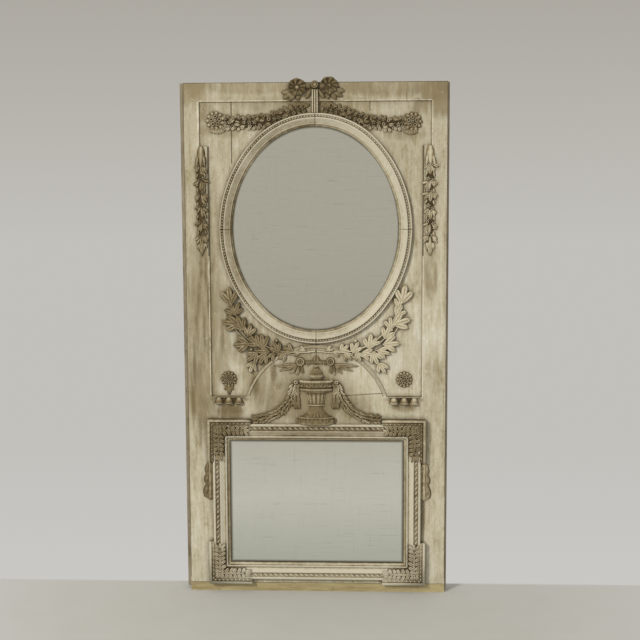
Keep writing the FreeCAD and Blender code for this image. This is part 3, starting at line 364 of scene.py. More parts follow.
CREAM = ((0.4, (140, 128, 99)), (0.455, (168, 158, 131)), (0.5, (183, 175, 150)), (0.545, (192, 186, 165)),
         (0.61, (208, 204, 188)))
OLD_DIRT = ((0.3, (112, 98, 68)), (0.7, (134, 119, 87)))
RAW_PLANK = ((0.3, (104, 90, 66)), (0.5, (138, 124, 98)), (0.7, (158, 145, 120)))
DRIP_COLOUR, FLECK_COLOUR, CHIP_COLOUR = (98, 82, 50), (112, 96, 60), (214, 208, 186)
RUBBED_COLOUR, CORNER_SHADE_AND_DIRT, CRACK_COLOUR = (222, 214, 190), (86, 72, 42), (66, 54, 31)


def strongest(values):
    total, *rest = values
    for value in rest:
        total = total.most(value)
    return total


def blots(net, place, spots):
    """Soft patches: how much dirt lies at a place."""
    def blot(x, z, half_width, half_height, strength):
        scale = (1 / (half_width * MM), 0, 1 / (half_height * MM))
        return net.band(net.reach(place, (x * MM, 0, z * MM), scale), 0.45, 1.45, strength, 0.0)

    return strongest([blot(*spot) for spot in spots])


def line_mask(net, place, lines, wobble):
    """1 on lines drawn on the face of the boards."""
    across, _, up = net.parts(place)

    def mark(x0, z0, x1, z1, width):
        length = hypot(x1 - x0, z1 - z0)
        right, rise = (x1 - x0) / length, (z1 - z0) / length
        side = across * -rise + up * right + MM * (x0 * rise - z0 * right) + wobble
        along = across * right + up * rise - MM * (x0 * right + z0 * rise + length / 2)
        line = net.band(abs(side), width * MM * 0.3, width * MM * 0.75, 1.0, 0.0)
        return line * abs(along).join("LESS_THAN", length / 2 * MM)

    return strongest([mark(*line) for line in lines])


def arch_groove(net, place):
    """A thin groove that follows the arch inside its bead."""
    reach = net.reach(place, (0, 0, ARCH_CENTRE * MM), (1, 0, 1))
    near = abs(reach - (ARCH_TOP - ARCH_CENTRE - ARCH_GROOVE_INSET) * MM)
    above = net.parts(place)[2].join("GREATER_THAN", FIELD_FOOT * MM)
    return net.band(near, 0.0008, 0.0022, 0.8, 0.0) * above


def finish_surface(net, colour, rough, height, bump):
    """A dull surface with a height that the light catches."""
    shader = net.add("ShaderNodeBsdfPrincipled", colour)
    net.feed(shader.inputs["Roughness"], rough)
    net.bump(shader, height, bump)
    net.add("ShaderNodeOutputMaterial", shader.outputs[0])


def soiled(net, place, colour, patchy, flecks):
    """Paint under dirt, painted shade, stains, drips, dark specks and pale chips; also how stained each place
    is.
    """
    # Broad patches: old dirt, with painted shade over the upper half.
    dirt_and_shade = blots(net, place, SHADE) * (patchy * 0.6 + 0.7)
    stain = blots(net, place, STAINS) * (patchy + 0.35)
    stain = dirt_and_shade.most(stain, clamp=True)
    colour = net.mix(stain * 0.84, colour, net.ramp(net.noise(place, 9.0, 3.0), *OLD_DIRT))
    drip = blots(net, place, DRIPS) * net.band(patchy, 0.1, 0.7, 0.5, 1.0)
    colour = net.mix(drip * 0.74, colour, DRIP_COLOUR)
    dirty = net.band(flecks, 0.57, 0.68) * stain.join("ADD", 0.25, clamp=True)
    colour = net.mix(dirty * 0.5, colour, FLECK_COLOUR)
    chips = net.band(net.noise(place, 55.0, 6.0, 0.8, (1.4, 1.4, 0.7), 0.6), 0.6, 0.68, 0.0, 0.4)
    return net.mix(chips, colour, CHIP_COLOUR), stain


def painted_boards():
    """Cream paint brushed upright over boards: stains, scuffs, cracks, painted shade and dirt in corners."""
    material, net, place = new_material("painted_boards")
    brush = net.noise(place, 30.0, 6.0, 0.68, (3.4, 3.4, 0.15), 0.4)
    cloud = net.noise(place, 4.6, 6.0, 0.62, (1, 1, 0.55), 0.6)
    worn = net.noise(place, 15.0, 7.0, 0.7, (1.8, 1.8, 0.5), 1.5)
    flake = net.noise(place, 78.0, 7.0, 0.78, (1, 1, 0.7), 0.8)
    patchy = net.band(net.noise(place, 12.0, 7.0, 0.66, (1.5, 1.5, 0.35), 0.9), 0.34, 0.66)
    flecks = net.noise(place, 34.0, 6.0, 0.75, (2.0, 2.0, 0.5), 1.2)
    colour = net.ramp(cloud * 0.3 + brush * 0.22 + worn * 0.28 + flake * 0.2, *CREAM)
    colour, stain = soiled(net, place, colour, patchy, flecks)
    facing = net.parts(net.add("ShaderNodeNewGeometry").outputs["Normal"])[1]
    front = net.band(facing, -0.9, -0.5, 1.0, 0.0)
    wobble = (net.noise(place, 24.0, 2.0) - 0.5) * 0.0022
    bright = line_mask(net, place, ARRISES, wobble) * net.band(flecks, 0.62, 0.42, 0.1, 0.6) * front
    colour = net.mix(bright, colour, RUBBED_COLOUR)
    # Painted shade: corners and hollows darkened by occlusion, varied by patchy grime.
    grime = net.hollow(0.02, 0.4, 0.93, 0.95) * net.band(patchy, 0.0, 0.9, 0.65, 1.0)
    colour = net.mix(grime, colour, CORNER_SHADE_AND_DIRT)
    crack = line_mask(net, place, CRACKS, wobble).most(arch_groove(net, place)) * front
    colour = net.mix(crack * 0.85, colour, CRACK_COLOUR)
    plank = net.ramp(net.noise(place, 60.0, 6.0, 0.62, (1.6, 1.6, 0.12), 1.4), *RAW_PLANK)
    unpainted = net.band(net.parts(place)[1], 0.004, 0.007).most(net.band(facing, 0.5, 0.9))
    colour = net.mix(unpainted, colour, plank)
    height = brush * 0.5 + flake * 0.6 - crack * 1.6
    finish_surface(net, colour, net.band(stain, 0, 1, 0.6, 0.8), height, 0.4)
    return material


# Paint on the carving, raw wood and glass -------------------------------------------------------------------

# Patches that darken carving and mouldings: middle x and z, half width, half height, strength
# Round the guttae (x near ±374, z near 843) the darkening is dirt and painted shade between the drops.
CARVED_GLOOM = (
    (0, 2090, 520, 120, 1.0), (-480, 1690, 50, 260, 1.0), (480, 1690, 50, 260, 0.45),
    (-330, 1230, 110, 110, 1.0), (-240, 1070, 170, 90, 0.8), (0, 1000, 180, 50, 0.95),
    (0, 800, 270, 90, 0.9), (0, 900, 100, 60, 0.95), (-374, 900, 90, 90, 1.1), (374, 900, 90, 90, 0.75),
    (-465, 490, 40, 110, 1.0), (465, 490, 40, 110, 0.55), (-417, 2025, 60, 60, 0.7),
    (407, 2014, 60, 60, 1.0), (0, 752, 90, 26, 1.3), (-250, 776, 60, 30, 1.2), (250, 776, 60, 30, 1.1),
    (-420, 690, 130, 130, 0.85), (420, 690, 130, 130, 0.9), (-374, 843, 80, 26, 1.4),
    (374, 843, 80, 26, 0.6),
)
# Painted shade: thin dark lines along the lower glass's sight edge, strongest at the top and left.
MOULDING_GLOOM = (
    (-380, 1571, 130, 400, 0.85), (-180, 1960, 260, 110, 0.7), (0, 1120, 260, 60, 0.45),
    (0, 714, 340, 26, 1.3), (-430, 120, 100, 90, 0.75), (430, 120, 90, 90, 0.7), (-377, 400, 7, 300, 1.3),
    (377, 400, 7, 300, 1.0), (0, 673, 400, 7, 1.4), (0, 128, 400, 6, 0.5), (380, 1571, 60, 300, 0.25),
    (-427, 400, 12, 320, 0.95), (427, 400, 12, 320, 0.7), (0, 77, 400, 11, 0.45),
)
GLOOM_COLOUR = (104, 89, 56)

# Colours of sawn wood, pale to dark, then how its grain stretches along each axis, and its grime
SAWN_WOODS = {
    "bare_wood": ((182, 168, 126), (160, 146, 106), (122, 108, 74), (0.12, 1, 1.6), 0.4),
    "rear_wood": ((160, 150, 130), (140, 129, 108), (104, 92, 72), (1.6, 1.6, 0.12), 0.5),
    "backing_wood": ((156, 132, 98), (134, 110, 78), (100, 80, 54), (0.12, 1.4, 1.6), 0.5),
}
GRIME_COLOUR = (66, 54, 36)

# The silver's tints from low to high: height, colour
OVAL_TINTS = ((1140, (206, 202, 188)), (1500, (212, 210, 197)), (2000, (212, 210, 197)))
LOWER_TINTS = ((130, (212, 215, 202)), (420, (238, 239, 229)), (668, (228, 226, 214)))

# Streaks in the silver: stretch and colour
SCRATCHES = (((0.16, 1, 4.0), (112, 110, 92)), ((4.0, 1, 0.16), (166, 164, 146)),
             ((0.3, 1, 7.0), (250, 249, 242)))
HAZE_COLOUR, RIM_COLOUR = (236, 234, 222), (66, 60, 42)


def carved_paint(name, gloom, lift, pale, middle, dark, low, high, grain):
    """Worn paint on carving: high spots worn pale, hollows dark as painted shade, point by point."""
    material, net, place = new_material(name)
    wear_and_shade = net.value("ShaderNodeAttribute", "Fac", attribute_name="wear_and_shade")
    mottle = net.noise(place, grain, 5.0, 0.68)
    # Darkening from the gloom patches: dirt and painted shade.
    dirt_and_shade = blots(net, place, gloom) * net.band(net.noise(place, 11.0, 3.0, 0.6), 0.3, 0.7, 0.75, 1.1)
    share = wear_and_shade + (mottle - 0.5) * 0.9
    share = share.join("ADD", net.band(dirt_and_shade, 0.0, 1.0, lift, -0.3), clamp=True)
    colour = net.ramp(share, (0.0, dark), (low, middle), (high, pale))
    colour = net.mix(dirt_and_shade * 0.3, colour, GLOOM_COLOUR)
    # Painted shade: the carving's hollows darkened by occlusion towards its dark colour.
    colour = net.mix(net.hollow(0.008, 0.25, 0.85, 0.85), colour, dark)
    height = mottle + net.noise(place, 260.0, 2.0) * 0.4
    finish_surface(net, colour, net.band(wear_and_shade, 0, 1, 0.85, 0.6), height, 0.3)
    return material


def sawn_wood(name, pale, middle, dark, stretch, grime):
    """Unpainted softwood."""
    material, net, place = new_material(name)
    grain = net.noise(place, 60.0, 6.0, 0.62, stretch, 1.4)
    cloud = net.noise(place, 6.0, 4.0, 0.6, tuple(0.4 + 0.6 * part for part in stretch), 0.4)
    colour = net.ramp(grain * 0.6 + cloud * 0.4, (0.32, dark), (0.5, middle), (0.68, pale))
    spots = net.band(net.noise(place, 22.0, 5.0, 0.7), 0.55, 0.75, 0.0, grime)
    finish_surface(net, net.mix(spots, colour, GRIME_COLOUR), 0.8, grain, 0.4)
    return material


def old_mirror(name, tints, rim):
    """Silvered glass: a soft haze, fine scratches and a darker tired rim."""
    material, net, place = new_material(name)
    haze = net.noise(place, 3.0, 4.0, 0.6)
    low, height = tints[0][0], tints[-1][0] - tints[0][0]
    share = (net.parts(place)[2] - low * MM) * (1 / (height * MM))
    share = share.join("ADD", (haze - 0.5) * 0.25, clamp=True)
    colour = net.ramp(share, *[((rise - low) / height, tint) for rise, tint in tints])
    worn = net.noise(place, 26.0, 6.0, 0.72, (0.5, 1, 1.6), 0.8)
    colour = net.mix(net.band(worn, 0.6, 0.78, 0.0, 0.22), colour, HAZE_COLOUR)
    for stretch, scratch in SCRATCHES:
        streak = net.noise(place, 46.0, 7.0, 0.8, stretch, 0.3)
        colour = net.mix(net.band(streak, 0.57, 0.68, 0.0, 0.3), colour, scratch)
    shader = net.add("ShaderNodeBsdfPrincipled", net.mix(rim(net, place), colour, RIM_COLOUR))
    shader.inputs["Metallic"].default_value = 1.0
    net.feed(shader.inputs["Roughness"], net.band(haze, 0.3, 0.7, 0.10, 0.2))
    net.bump(shader, haze, 0.04)
    net.add("ShaderNodeOutputMaterial", shader.outputs[0])
    return material


def rim_of_rectangle(net, place):
    across, _, up = net.parts(place)
    side = net.math("SUBTRACT", SIGHT_HALF * MM, abs(across))
    level = net.math("SUBTRACT", SIGHT_RISE * MM, abs(up - SIGHT_MIDDLE * MM))
    return net.band(side.join("MINIMUM", level), 0.001, 0.012, 0.75, 0.0)


def rim_of_oval(net, place):
    scale = (1 / (OVAL_HALF_WIDTH * MM), 0, 1 / (OVAL_HALF_HEIGHT * MM))
    return net.band(net.reach(place, (0, 0, OVAL_CENTRE * MM), scale), 0.975, 1.0, 0.0, 0.75)


# Carving ----------------------------------------------------------------------------------------------------

def jitter(amount):
    """A random change of up to an amount either way."""
    return chance.uniform(-amount, amount)


def turned(x, z, along, across, heading):
    """The point that lies along and across a heading from x, z."""
    angle = radians(heading)
    return x + along * cos(angle) - across * sin(angle), z + along * sin(angle) + across * cos(angle)


def round_about(x, z, reach, count, start=0.0):
    """Points spread evenly round x, z, each with its heading from there."""
    for number in range(count):
        heading = start + number * 360 / count
        yield (*turned(x, z, reach, 0, heading), heading)


def facing(lean, way):
    """A heading, or its mirror image where way is -1."""
    return lean if way > 0 else 180 - lean


def line(start, end, sag=0.0):
    """A path between two points that bulges to its right by sag."""
    dx, dz = end[0] - start[0], end[1] - start[1]
    size = hypot(dx, dz)

    def path(u):
        bow = 4 * sag * u * (1 - u) / size
        return start[0] + dx * u + dz * bow, start[1] + dz * u - dx * bow
    return path


def heading_at(path, u, step=0.02):
    """Which way a path goes at u, in degrees."""
    near, far = path(max(u - step, 0.0)), path(min(u + step, 1.0))
    return degrees(atan2(far[1] - near[1], far[0] - near[0]))


class Relief:
    """Carved patches gathered into one piece. Heights are measured from a plane towards the viewer."""

    def __init__(self, plane, skirt=0.5):
        self.plane, self.skirt = plane, skirt
        self.points, self.faces, self.wear_and_shade = [], [], []

    def patch(self, shape, rows, columns, rim=None):
        """A grid from shape(u, v) -> x, z, height, worn paleness and painted shade; u and v go 0 to 1.

        A rim all "round" joins the columns up and sinks the last row; a rim at the "sides" sinks them."""
        first = len(self.points)
        wide = columns if rim == "round" else columns + 1
        for row in range(rows + 1):
            for column in range(wide):
                x, z, height, wear_and_shade = shape(row / rows, column / columns)
                if (rim == "round" and row == rows) or (rim == "sides" and column in (0, columns)):
                    height, wear_and_shade = -self.skirt, 0.0
                self.points.append((x * MM, (self.plane - height) * MM, z * MM))
                self.wear_and_shade.append(wear_and_shade)
        for row in range(rows):
            near, far = first + row * wide, first + (row + 1) * wide
            for here in range(columns):
                there = (here + 1) % wide
                self.faces.append((near + here, near + there, far + there, far + here))

    def leaf(self, x, z, heading, length, width, height, base=0.0, curl=0.0, kind="rib", blunt=False):
        """A leaf whose rim drops to the plane: with a rib, a groove down its middle, or flutes."""
        def half_width(u):
            if u == 1:
                return 0.1 if blunt else 0.04
            if blunt:
                return sqrt(1 - (2 * (0.1 + 0.88 * u) ** 1.5 - 1) ** 2)
            return sin(pi * (0.05 + 0.95 * u) ** 0.72) ** 0.75

        def shape(u, v):
            across = 2 * min(max((v - 0.1) / 0.8, 0), 1) - 1
            side = width / 2 * half_width(u) * across + curl * sin(pi * u / 2) ** 2
            arch = 0.5 + 0.5 * sin(pi * min(u * 0.9 + 0.08, 1))
            ribs = {"rib": 1 - 0.85 * abs(across), "groove": min(1, 0.1 + 1.9 * abs(across)),
                    "flutes": abs(cos(pi * 1.5 * across))}
            crown = sqrt(1 - across * across * 0.85)
            rise = base + height * arch * crown * (0.6 + 0.4 * ribs[kind])
            wear_and_shade = crown * (0.2 + 0.8 * ribs[kind]) * (0.5 + 0.5 * arch)
            return *turned(x, z, length * u, side, heading), rise, wear_and_shade

        self.patch(shape, 7, 10 if kind == "flutes" else 8, "sides")

    def lobe(self, x, z, heading, length, width, height, base=0.0, curl=0.0):
        """A blunt leaf with a groove."""
        self.leaf(x, z, heading, length, width, height, base, curl, "groove", True)

    def ring(self, x, z, radius, height, base=0.0, eye=0.35, sides=12):
        """A rounded ring with its eye painted dark as shade."""
        def shape(u, v):
            share = min(u * 1.2, 1)
            place = max((share - eye) / (1 - eye), 0.0)
            crest = sin(pi * min(place * 0.9 + 0.05, 1)) if share >= eye * 0.9 else 0.0
            return *turned(x, z, radius * share, 0, 360 * v), base + height * (0.25 + 0.75 * crest), crest

        self.patch(shape, 6, sides, "round")

    def dome(self, x, z, radius, height, base=0.0, squash=1.0, heading=0.0, rings=3, sides=10):
        """A rounded boss or bead; squash narrows it across its heading."""
        def shape(u, v):
            lean, turn = min(u * 1.18, 1) * pi / 2, 2 * pi * v
            reach = radius * sin(lean)
            place = turned(x, z, reach * cos(turn), reach * sin(turn) * squash, heading)
            return *place, base + height * cos(lean), cos(lean)

        self.patch(shape, rings, sides, "round")

    def flower(self, x, z, radius, height, base):
        """A small flower: round petals about a ringed eye."""
        for px, pz, turn in round_about(x, z, radius * 0.6, 5, chance.uniform(0, 360)):
            self.dome(px, pz, radius * 0.42, height * 0.8, base, 0.85, turn, sides=7)
        self.ring(x, z, radius * 0.42, height, base, 0.3, 8)

    def cord(self, path, width, height, shine=1.0, base=0.0, steps=14):
        """A rounded strip along path(u) -> x, z; width and height may be functions of u."""
        def shape(u, v):
            across = 2 * v - 1
            wide = width(u) if callable(width) else width
            high = height(u) if callable(height) else height
            crown = sqrt(1 - across * across)
            place = turned(*path(u), 0, wide / 2 * across, heading_at(path, u, 0.01))
            return *place, base + high * crown, crown * shine

        self.patch(shape, steps, 6, "sides")

    def piece(self, name, material, replaced=None, mirror=False, slot="carved_wood"):
        """Make the mesh, ride it on the panel and let it stand for its node."""
        points = [(-x, y, z) for x, y, z in self.points] if mirror else self.points
        faces = [face[::-1] for face in self.faces] if mirror else self.faces
        mesh = bpy.data.meshes.new(name)
        mesh.from_pydata(points, [], faces)
        # Each point's worn paleness and painted shade: pale on high spots, dark in hollows and at patch feet.
        wear_and_shade = mesh.attributes.new("wear_and_shade", "FLOAT", "POINT")
        wear_and_shade.data.foreach_set("value", self.wear_and_shade)
        mesh.shade_smooth()
        mesh.materials.append(material)
        piece = bpy.data.objects.new(name, mesh)
        bpy.context.scene.collection.objects.link(piece)
        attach(piece, "root")
        if replaced:
            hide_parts(replaced)

    def one_of_two(self, name, material, replaced, side):
        """The right piece of a pair, or the left one as its mirror image."""
        self.piece(name + "_" + side, material, replaced + "_" + side, side == "left")


# Mouldings --------------------------------------------------------------------------------------------------

# Sections: across from the sight edge, up from the boards, worn paleness and painted shade
OVAL_SECTION = (
    (0.0, 0.0, 0.0), (0.0, 3.6, 0.2), (1.0, 4.2, 0.3), (6.0, 5.6, 0.35), (9.0, 6.4, 0.15), (9.6, 8.8, 0.8),
    (12.4, 9.6, 0.9), (14.0, 9.4, 0.5), (15.0, 10.0, 0.5), (18.0, 10.9, 0.62), (23.0, 13.6, 0.72),
    (28.0, 17.4, 0.8), (32.0, 21.2, 0.9), (33.4, 22.0, 1.0), (36.0, 21.6, 0.9), (37.4, 19.6, 0.6),
    (38.4, 14.6, 0.36), (39.6, 13.4, 0.26), (47.0, 13.4, 0.26), (48.2, 14.0, 0.36), (49.4, 15.6, 0.85),
    (52.0, 16.4, 1.0), (54.4, 15.4, 0.9), (55.0, 13.0, 0.4), (55.0, 0.0, 0.0),
)
LOWER_SECTION = (
    (0.0, 0.0, 0.0), (0.0, 4.6, 0.0), (1.6, 5.0, 0.1), (3.4, 5.8, 0.62), (9.4, 8.4, 0.62), (10.6, 10.2, 0.05),
    (12.6, 13.4, 0.3), (14.4, 16.2, 0.95), (18.0, 17.0, 1.0), (19.8, 15.4, 0.6), (20.8, 12.4, 0.0),
    (22.8, 12.2, 0.3), (27.0, 13.4, 0.68), (33.0, 16.2, 0.75), (39.0, 20.6, 0.85), (42.0, 21.6, 0.95),
    (44.0, 21.0, 0.7), (44.8, 17.6, 0.2), (46.0, 16.2, 0.42), (61.4, 16.2, 0.42), (62.6, 18.0, 0.25),
    (63.4, 21.4, 0.75), (65.0, 22.0, 0.9), (71.6, 22.0, 0.9), (73.0, 20.8, 0.6), (73.0, 0.0, 0.0),
)

# Rows along an oval quarter, the share of it left open at each end, and the share that its first row takes.
# Then the share of its paleness that is left at each joint: right, top, left, bottom.
QUARTER_ROWS = 72
JOINT_GAP, JOINT_SHARE = 0.0012, 0.0026
JOINT_WEAR = (0.7, 0.0, 0.7, 0.3)

# Where the oval's beads lie and how many a quarter has, then where the leaves and fine beads of the lower
# moulding lie and how far apart they are
OVAL_BEAD_LANE, QUARTER_BEADS = 43.0, 55
LEAF_LANE, LEAF_PITCH = 53.8, 22.0
BEAD_LANE, BEAD_PITCH = 16.2, 9.0
MITRE_GAP = 0.3
RAIL_HEADING = {"right": 90, "left": 270, "top": 180, "bottom": 0}


def oval_point(turn, across):
    """A point at an offset outside the oval sight, where the outline faces the angle turn."""
    lean = abs((turn + pi / 2) % pi - pi / 2)
    if lean <= JOIN_ANGLE:
        radius, x, z = SIDE_RADIUS + across, -SIDE_CENTRE if cos(turn) > 0 else SIDE_CENTRE, 0.0
    else:
        radius, x, z = OVAL_END_RADIUS + across, 0.0, END_CENTRE if sin(turn) > 0 else -END_CENTRE
    return x + radius * cos(turn), OVAL_CENTRE + z + radius * sin(turn)


def oval_turn(share, across):
    """The facing angle at a share of the way round the first quarter."""
    side = (SIDE_RADIUS + across) * JOIN_ANGLE
    end = (OVAL_END_RADIUS + across) * (pi / 2 - JOIN_ANGLE)
    reach = share * (side + end)
    if reach <= side:
        return reach / (SIDE_RADIUS + across)
    return JOIN_ANGLE + (reach - side) / (OVAL_END_RADIUS + across)


def build_oval_frame(material):
    """Four quarters with a hairline joint between them, and a row of beads in the channel."""
    last = len(OVAL_SECTION) - 1
    for start, name in enumerate(("top_right", "top_left", "bottom_left", "bottom_right")):
        def shape(u, v):
            across, up, wear_and_shade = OVAL_SECTION[round(v * last)]
            near = min(u, 1 - u)
            joint = min(near * QUARTER_ROWS, 1) * JOINT_SHARE
            rest = max(near - 1 / QUARTER_ROWS, 0) * (0.5 - JOINT_SHARE) / (0.5 - 1 / QUARTER_ROWS)
            share = joint + rest if u < 0.5 else 1 - joint - rest
            turn = (start + JOINT_GAP + share * (1 - 2 * JOINT_GAP)) * pi / 2
            worn = 1 if near > 0 else JOINT_WEAR[(start + round(u)) % 4]
            return *oval_point(turn, across), up, wear_and_shade * worn

        quarter = Relief(FIELD)
        quarter.patch(shape, QUARTER_ROWS, last)
        quarter.piece("oval_moulding_" + name, material, "oval_frame_" + name, slot="moulding_paint")
    beads = Relief(FIELD)
    for quarter in range(4):
        odd = quarter % 2
        for number in range(QUARTER_BEADS):
            share = (number + 0.5) / QUARTER_BEADS
            turn = oval_turn(1 - share if odd else share, OVAL_BEAD_LANE)
            turn = (quarter + odd) * pi / 2 + (-turn if odd else turn)
            x, z = oval_point(turn, OVAL_BEAD_LANE)
            beads.dome(x, z, 4.4, 4.2 + jitter(0.5), 13.0, 0.92, degrees(turn), sides=8)
    beads.piece("oval_beads", material, slot="moulding_paint")


def rail_point(side, along, across):
    """A point on one side of the rectangular moulding, at an offset outside its sight edge."""
    x, z = {"right": (SIGHT_HALF + across, along), "left": (-SIGHT_HALF - across, -along),
            "top": (-along, SIGHT_RISE + across), "bottom": (along, -SIGHT_RISE - across)}[side]
    return x, SIGHT_MIDDLE + z


def build_lower_frame(material):
    """Four mitred lengths, each with a carved band of beads and leaves and a row of fine beads."""
    last = len(LOWER_SECTION) - 1
    for side, heading in RAIL_HEADING.items():
        half = SIGHT_RISE if side in SIDES else SIGHT_HALF

        def shape(u, v):
            across, up, wear_and_shade = LOWER_SECTION[round(v * last)]
            return *rail_point(side, (half + across - MITRE_GAP) * (2 * u - 1), across), up, wear_and_shade

        rail = Relief(GROUND)
        rail.patch(shape, 24, last)
        rail.piece("lower_moulding_" + side, material, "lower_frame_" + side, slot="moulding_paint")
        band = Relief(GROUND)
        count = int((2 * half - 40) / LEAF_PITCH)
        for number in range(count + 1):
            along = (number - count / 2) * LEAF_PITCH
            x, z = rail_point(side, along - LEAF_PITCH * 0.36, LEAF_LANE - 5.2)
            band.leaf(x, z, heading - 40 + jitter(5), 19.5, 14.2, 4.2 + jitter(1), 15.2, 0, "rib", True)
            x, z = rail_point(side, along + LEAF_PITCH * 0.3, LEAF_LANE - 4.4)
            band.dome(x, z, 2.8, 4.2, 15.4, rings=2, sides=6)
        count = int(2 * half / BEAD_PITCH)
        for number in range(count + 1):
            x, z = rail_point(side, (number - count / 2) * BEAD_PITCH, BEAD_LANE)
            band.dome(x, z, 3.2, 1.6, 16.2, 0.8, heading, 2, 6)
        band.piece("carved_band_" + side, material, slot="moulding_paint")


# Section of the ears' border: inwards from the edge, up from the boards, worn paleness and painted shade
EAR_SECTION = (
    (0.0, 0.0, 0.0), (0.0, 26.4, 0.5), (1.2, 28.0, 1.0), (9.0, 28.0, 0.95), (10.4, 26.6, 0.6),
    (11.2, 24.4, 0.1), (12.6, 24.0, 0.15), (14.0, 25.2, 0.4), (22.4, 25.2, 0.4), (24.6, 24.2, 0.3),
    (25.6, 19.0, 0.12), (70.0, 15.0, 0.12), (71.0, 9.0, 0.0),
)
EAR_ARM = 185.0
PALMETTE_LANE, PALMETTE_FOOT = 47.0, 66
LOBE_PAIRS, LOBE_PITCH = 5, 18.5


def palmette(relief, place, upright, heading, turn):
    """A feathered leaf along one arm: paired lobes on a rib, and a bud in a pointed arch at its end."""
    length = LOBE_PAIRS * LOBE_PITCH
    for number in range(LOBE_PAIRS):
        x, z = place(PALMETTE_LANE, PALMETTE_FOOT + number * LOBE_PITCH, upright)
        for lean in (46, -46):
            relief.lobe(x, z, heading + (lean + jitter(8)) * turn, 28 + jitter(3), 16.5,
                        10 + jitter(1.5), 18.5, 0.08 * lean * turn)
    x, z = place(PALMETTE_LANE, PALMETTE_FOOT - 10, upright)
    relief.leaf(x, z, heading, length + 12, 10, 8, 22, 0, "groove")
    for lean, size in ((26, 30), (-26, 30), (0, 28)):
        x, z = place(PALMETTE_LANE + lean * 0.2, PALMETTE_FOOT + length - 4, upright)
        relief.leaf(x, z, heading - lean * turn, size, 13, 10, 19, 0.16 * lean, "groove", lean == 0)


def build_corners(tired, clean):
    """Crossetted corners: a plain strip and a lumpy one round two palmettes that meet at a flower."""
    for half, edge, way, material in (("top", EAR_TOP, -1, tired), ("bottom", EAR_FOOT, 1, clean)):
        def place(inward, along, upright):
            """From the outer corner: inward from the edge and along the arm."""
            across, rise = (inward, along) if upright else (along, inward)
            return EAR_HALF - across, edge + way * rise

        def border(u, v):
            inward, up, wear_and_shade = EAR_SECTION[round(v * (len(EAR_SECTION) - 1))]
            stop = EAR_ARM - 0.62 * max(inward - 24, 0)
            along = (stop, stop, inward, inward, stop, stop)[round(u * 5)]
            inside = 0.1 < u < 0.9
            return *place(inward, along, u > 0.5), up * inside, wear_and_shade * inside

        for side in ("left", "right"):
            corner = Relief(GROUND, 0)
            corner.patch(border, 5, len(EAR_SECTION) - 1)
            corner.skirt = 12 - (GROUND - EAR_FRONT)
            for upright, heading, turn in ((True, 90 * way, -way), (False, 180, way)):
                for number in range(9):
                    x, z = place(18.5 + jitter(0.8), 26 + number * 17.5 + jitter(1.5), upright)
                    corner.dome(x, z, 5.6, 3.2 + jitter(0.5), 24.6, 0.7, heading, 2, 7)
                palmette(corner, place, upright, heading, turn)
            x, z = place(45, 45, True)
            for number in range(4):
                corner.lobe(x, z, 45 + number * 90, 27, 17, 10.5 + jitter(0.6), 18.5)
                corner.leaf(x, z, number * 90, 21, 11, 9 + jitter(0.6), 18.5, blunt=True)
            corner.dome(x, z, 5, 7, 25)
            corner.one_of_two("corner_carving_" + half, material, "corner_ear_" + half, side)


# Ornaments --------------------------------------------------------------------------------------------------

def rosette(relief, x, z, radius, height, border, eyes):
    """A round flower head: a scalloped border, a ring of eyes and a boss."""
    relief.dome(x, z, radius, height * 0.5, rings=4, sides=24)
    for px, pz, turn in round_about(x, z, radius * 0.84, border):
        relief.dome(px, pz, pi * radius / border * 0.95, height * 0.34, height * 0.22, 0.85, turn, sides=8)
    for px, pz, _ in round_about(x, z, radius * 0.47, eyes, 18):
        relief.ring(px, pz, radius * 0.25, height * 0.42, height * 0.45, 0.4, 10)
    relief.ring(x, z, radius * 0.2, height * 0.5, height * 0.55, 0.25, 10)


def leafy_band(relief, path):
    """Overlapping leaves down a path, three abreast, with a berry beside every second row."""
    count, thick = 22, 30
    relief.cord(path, thick * 0.85, 2.5, 0.0)
    for number in range(count):
        u = (number + 0.4) / count
        heading = heading_at(path, u)
        for lane in (1, -1, 0):
            x, z = turned(*path(u), 0, lane * thick * 0.25 + jitter(thick * 0.06), heading)
            turn = lane * 34 + jitter(9)
            size = 22 * (1 + jitter(0.14))
            lift = (1.0 if lane else 3.2) + jitter(0.6)
            kind = ("groove", "rib", "flutes")[(number + lane) % 3]
            relief.leaf(x, z, heading + turn, size, 12, 7, lift, jitter(2), kind, number % 2 == 0)
        if number % 2:
            x, z = turned(*path(u), 0, thick * 0.3 * (1 if number % 4 == 1 else -1), heading)
            relief.dome(x, z, 3.84, 6.3, 3.5, sides=8)


def lump_band(relief, path):
    """Small flowers, berries and leaf tips packed along a path."""
    count, thick = 17, 50
    relief.cord(path, thick * 0.9, 3.5, 0.05)
    for number in range(count):
        u = (number + 0.5) / count
        heading = heading_at(path, u)
        for lane in (-1, 0, 1):
            x, z = turned(*path(u), 0, lane * thick * 0.33 + jitter(thick * 0.07), heading)
            x, z = x + jitter(2), z + jitter(2)
            pick = (number * 3 + lane * 2) % 5
            lift = 2.5 if lane else 4.5
            if lane:
                relief.lobe(x, z, heading + lane * (52 + jitter(22)), thick * 0.38, 14, 8.8, 1, jitter(2))
            if pick in (0, 3):
                relief.flower(x, z, 9.5 + jitter(1.2), 8.25, lift)
            elif pick == 1:
                relief.ring(x, z, 7.5 + jitter(1), 7.7, lift)
            elif pick == 2:
                relief.lobe(x, z, heading + 180 + jitter(50), 24, 12, 8.8, lift, jitter(2))
            else:
                relief.leaf(x, z, heading + jitter(60), 22, 11, 9.35, lift, jitter(2))


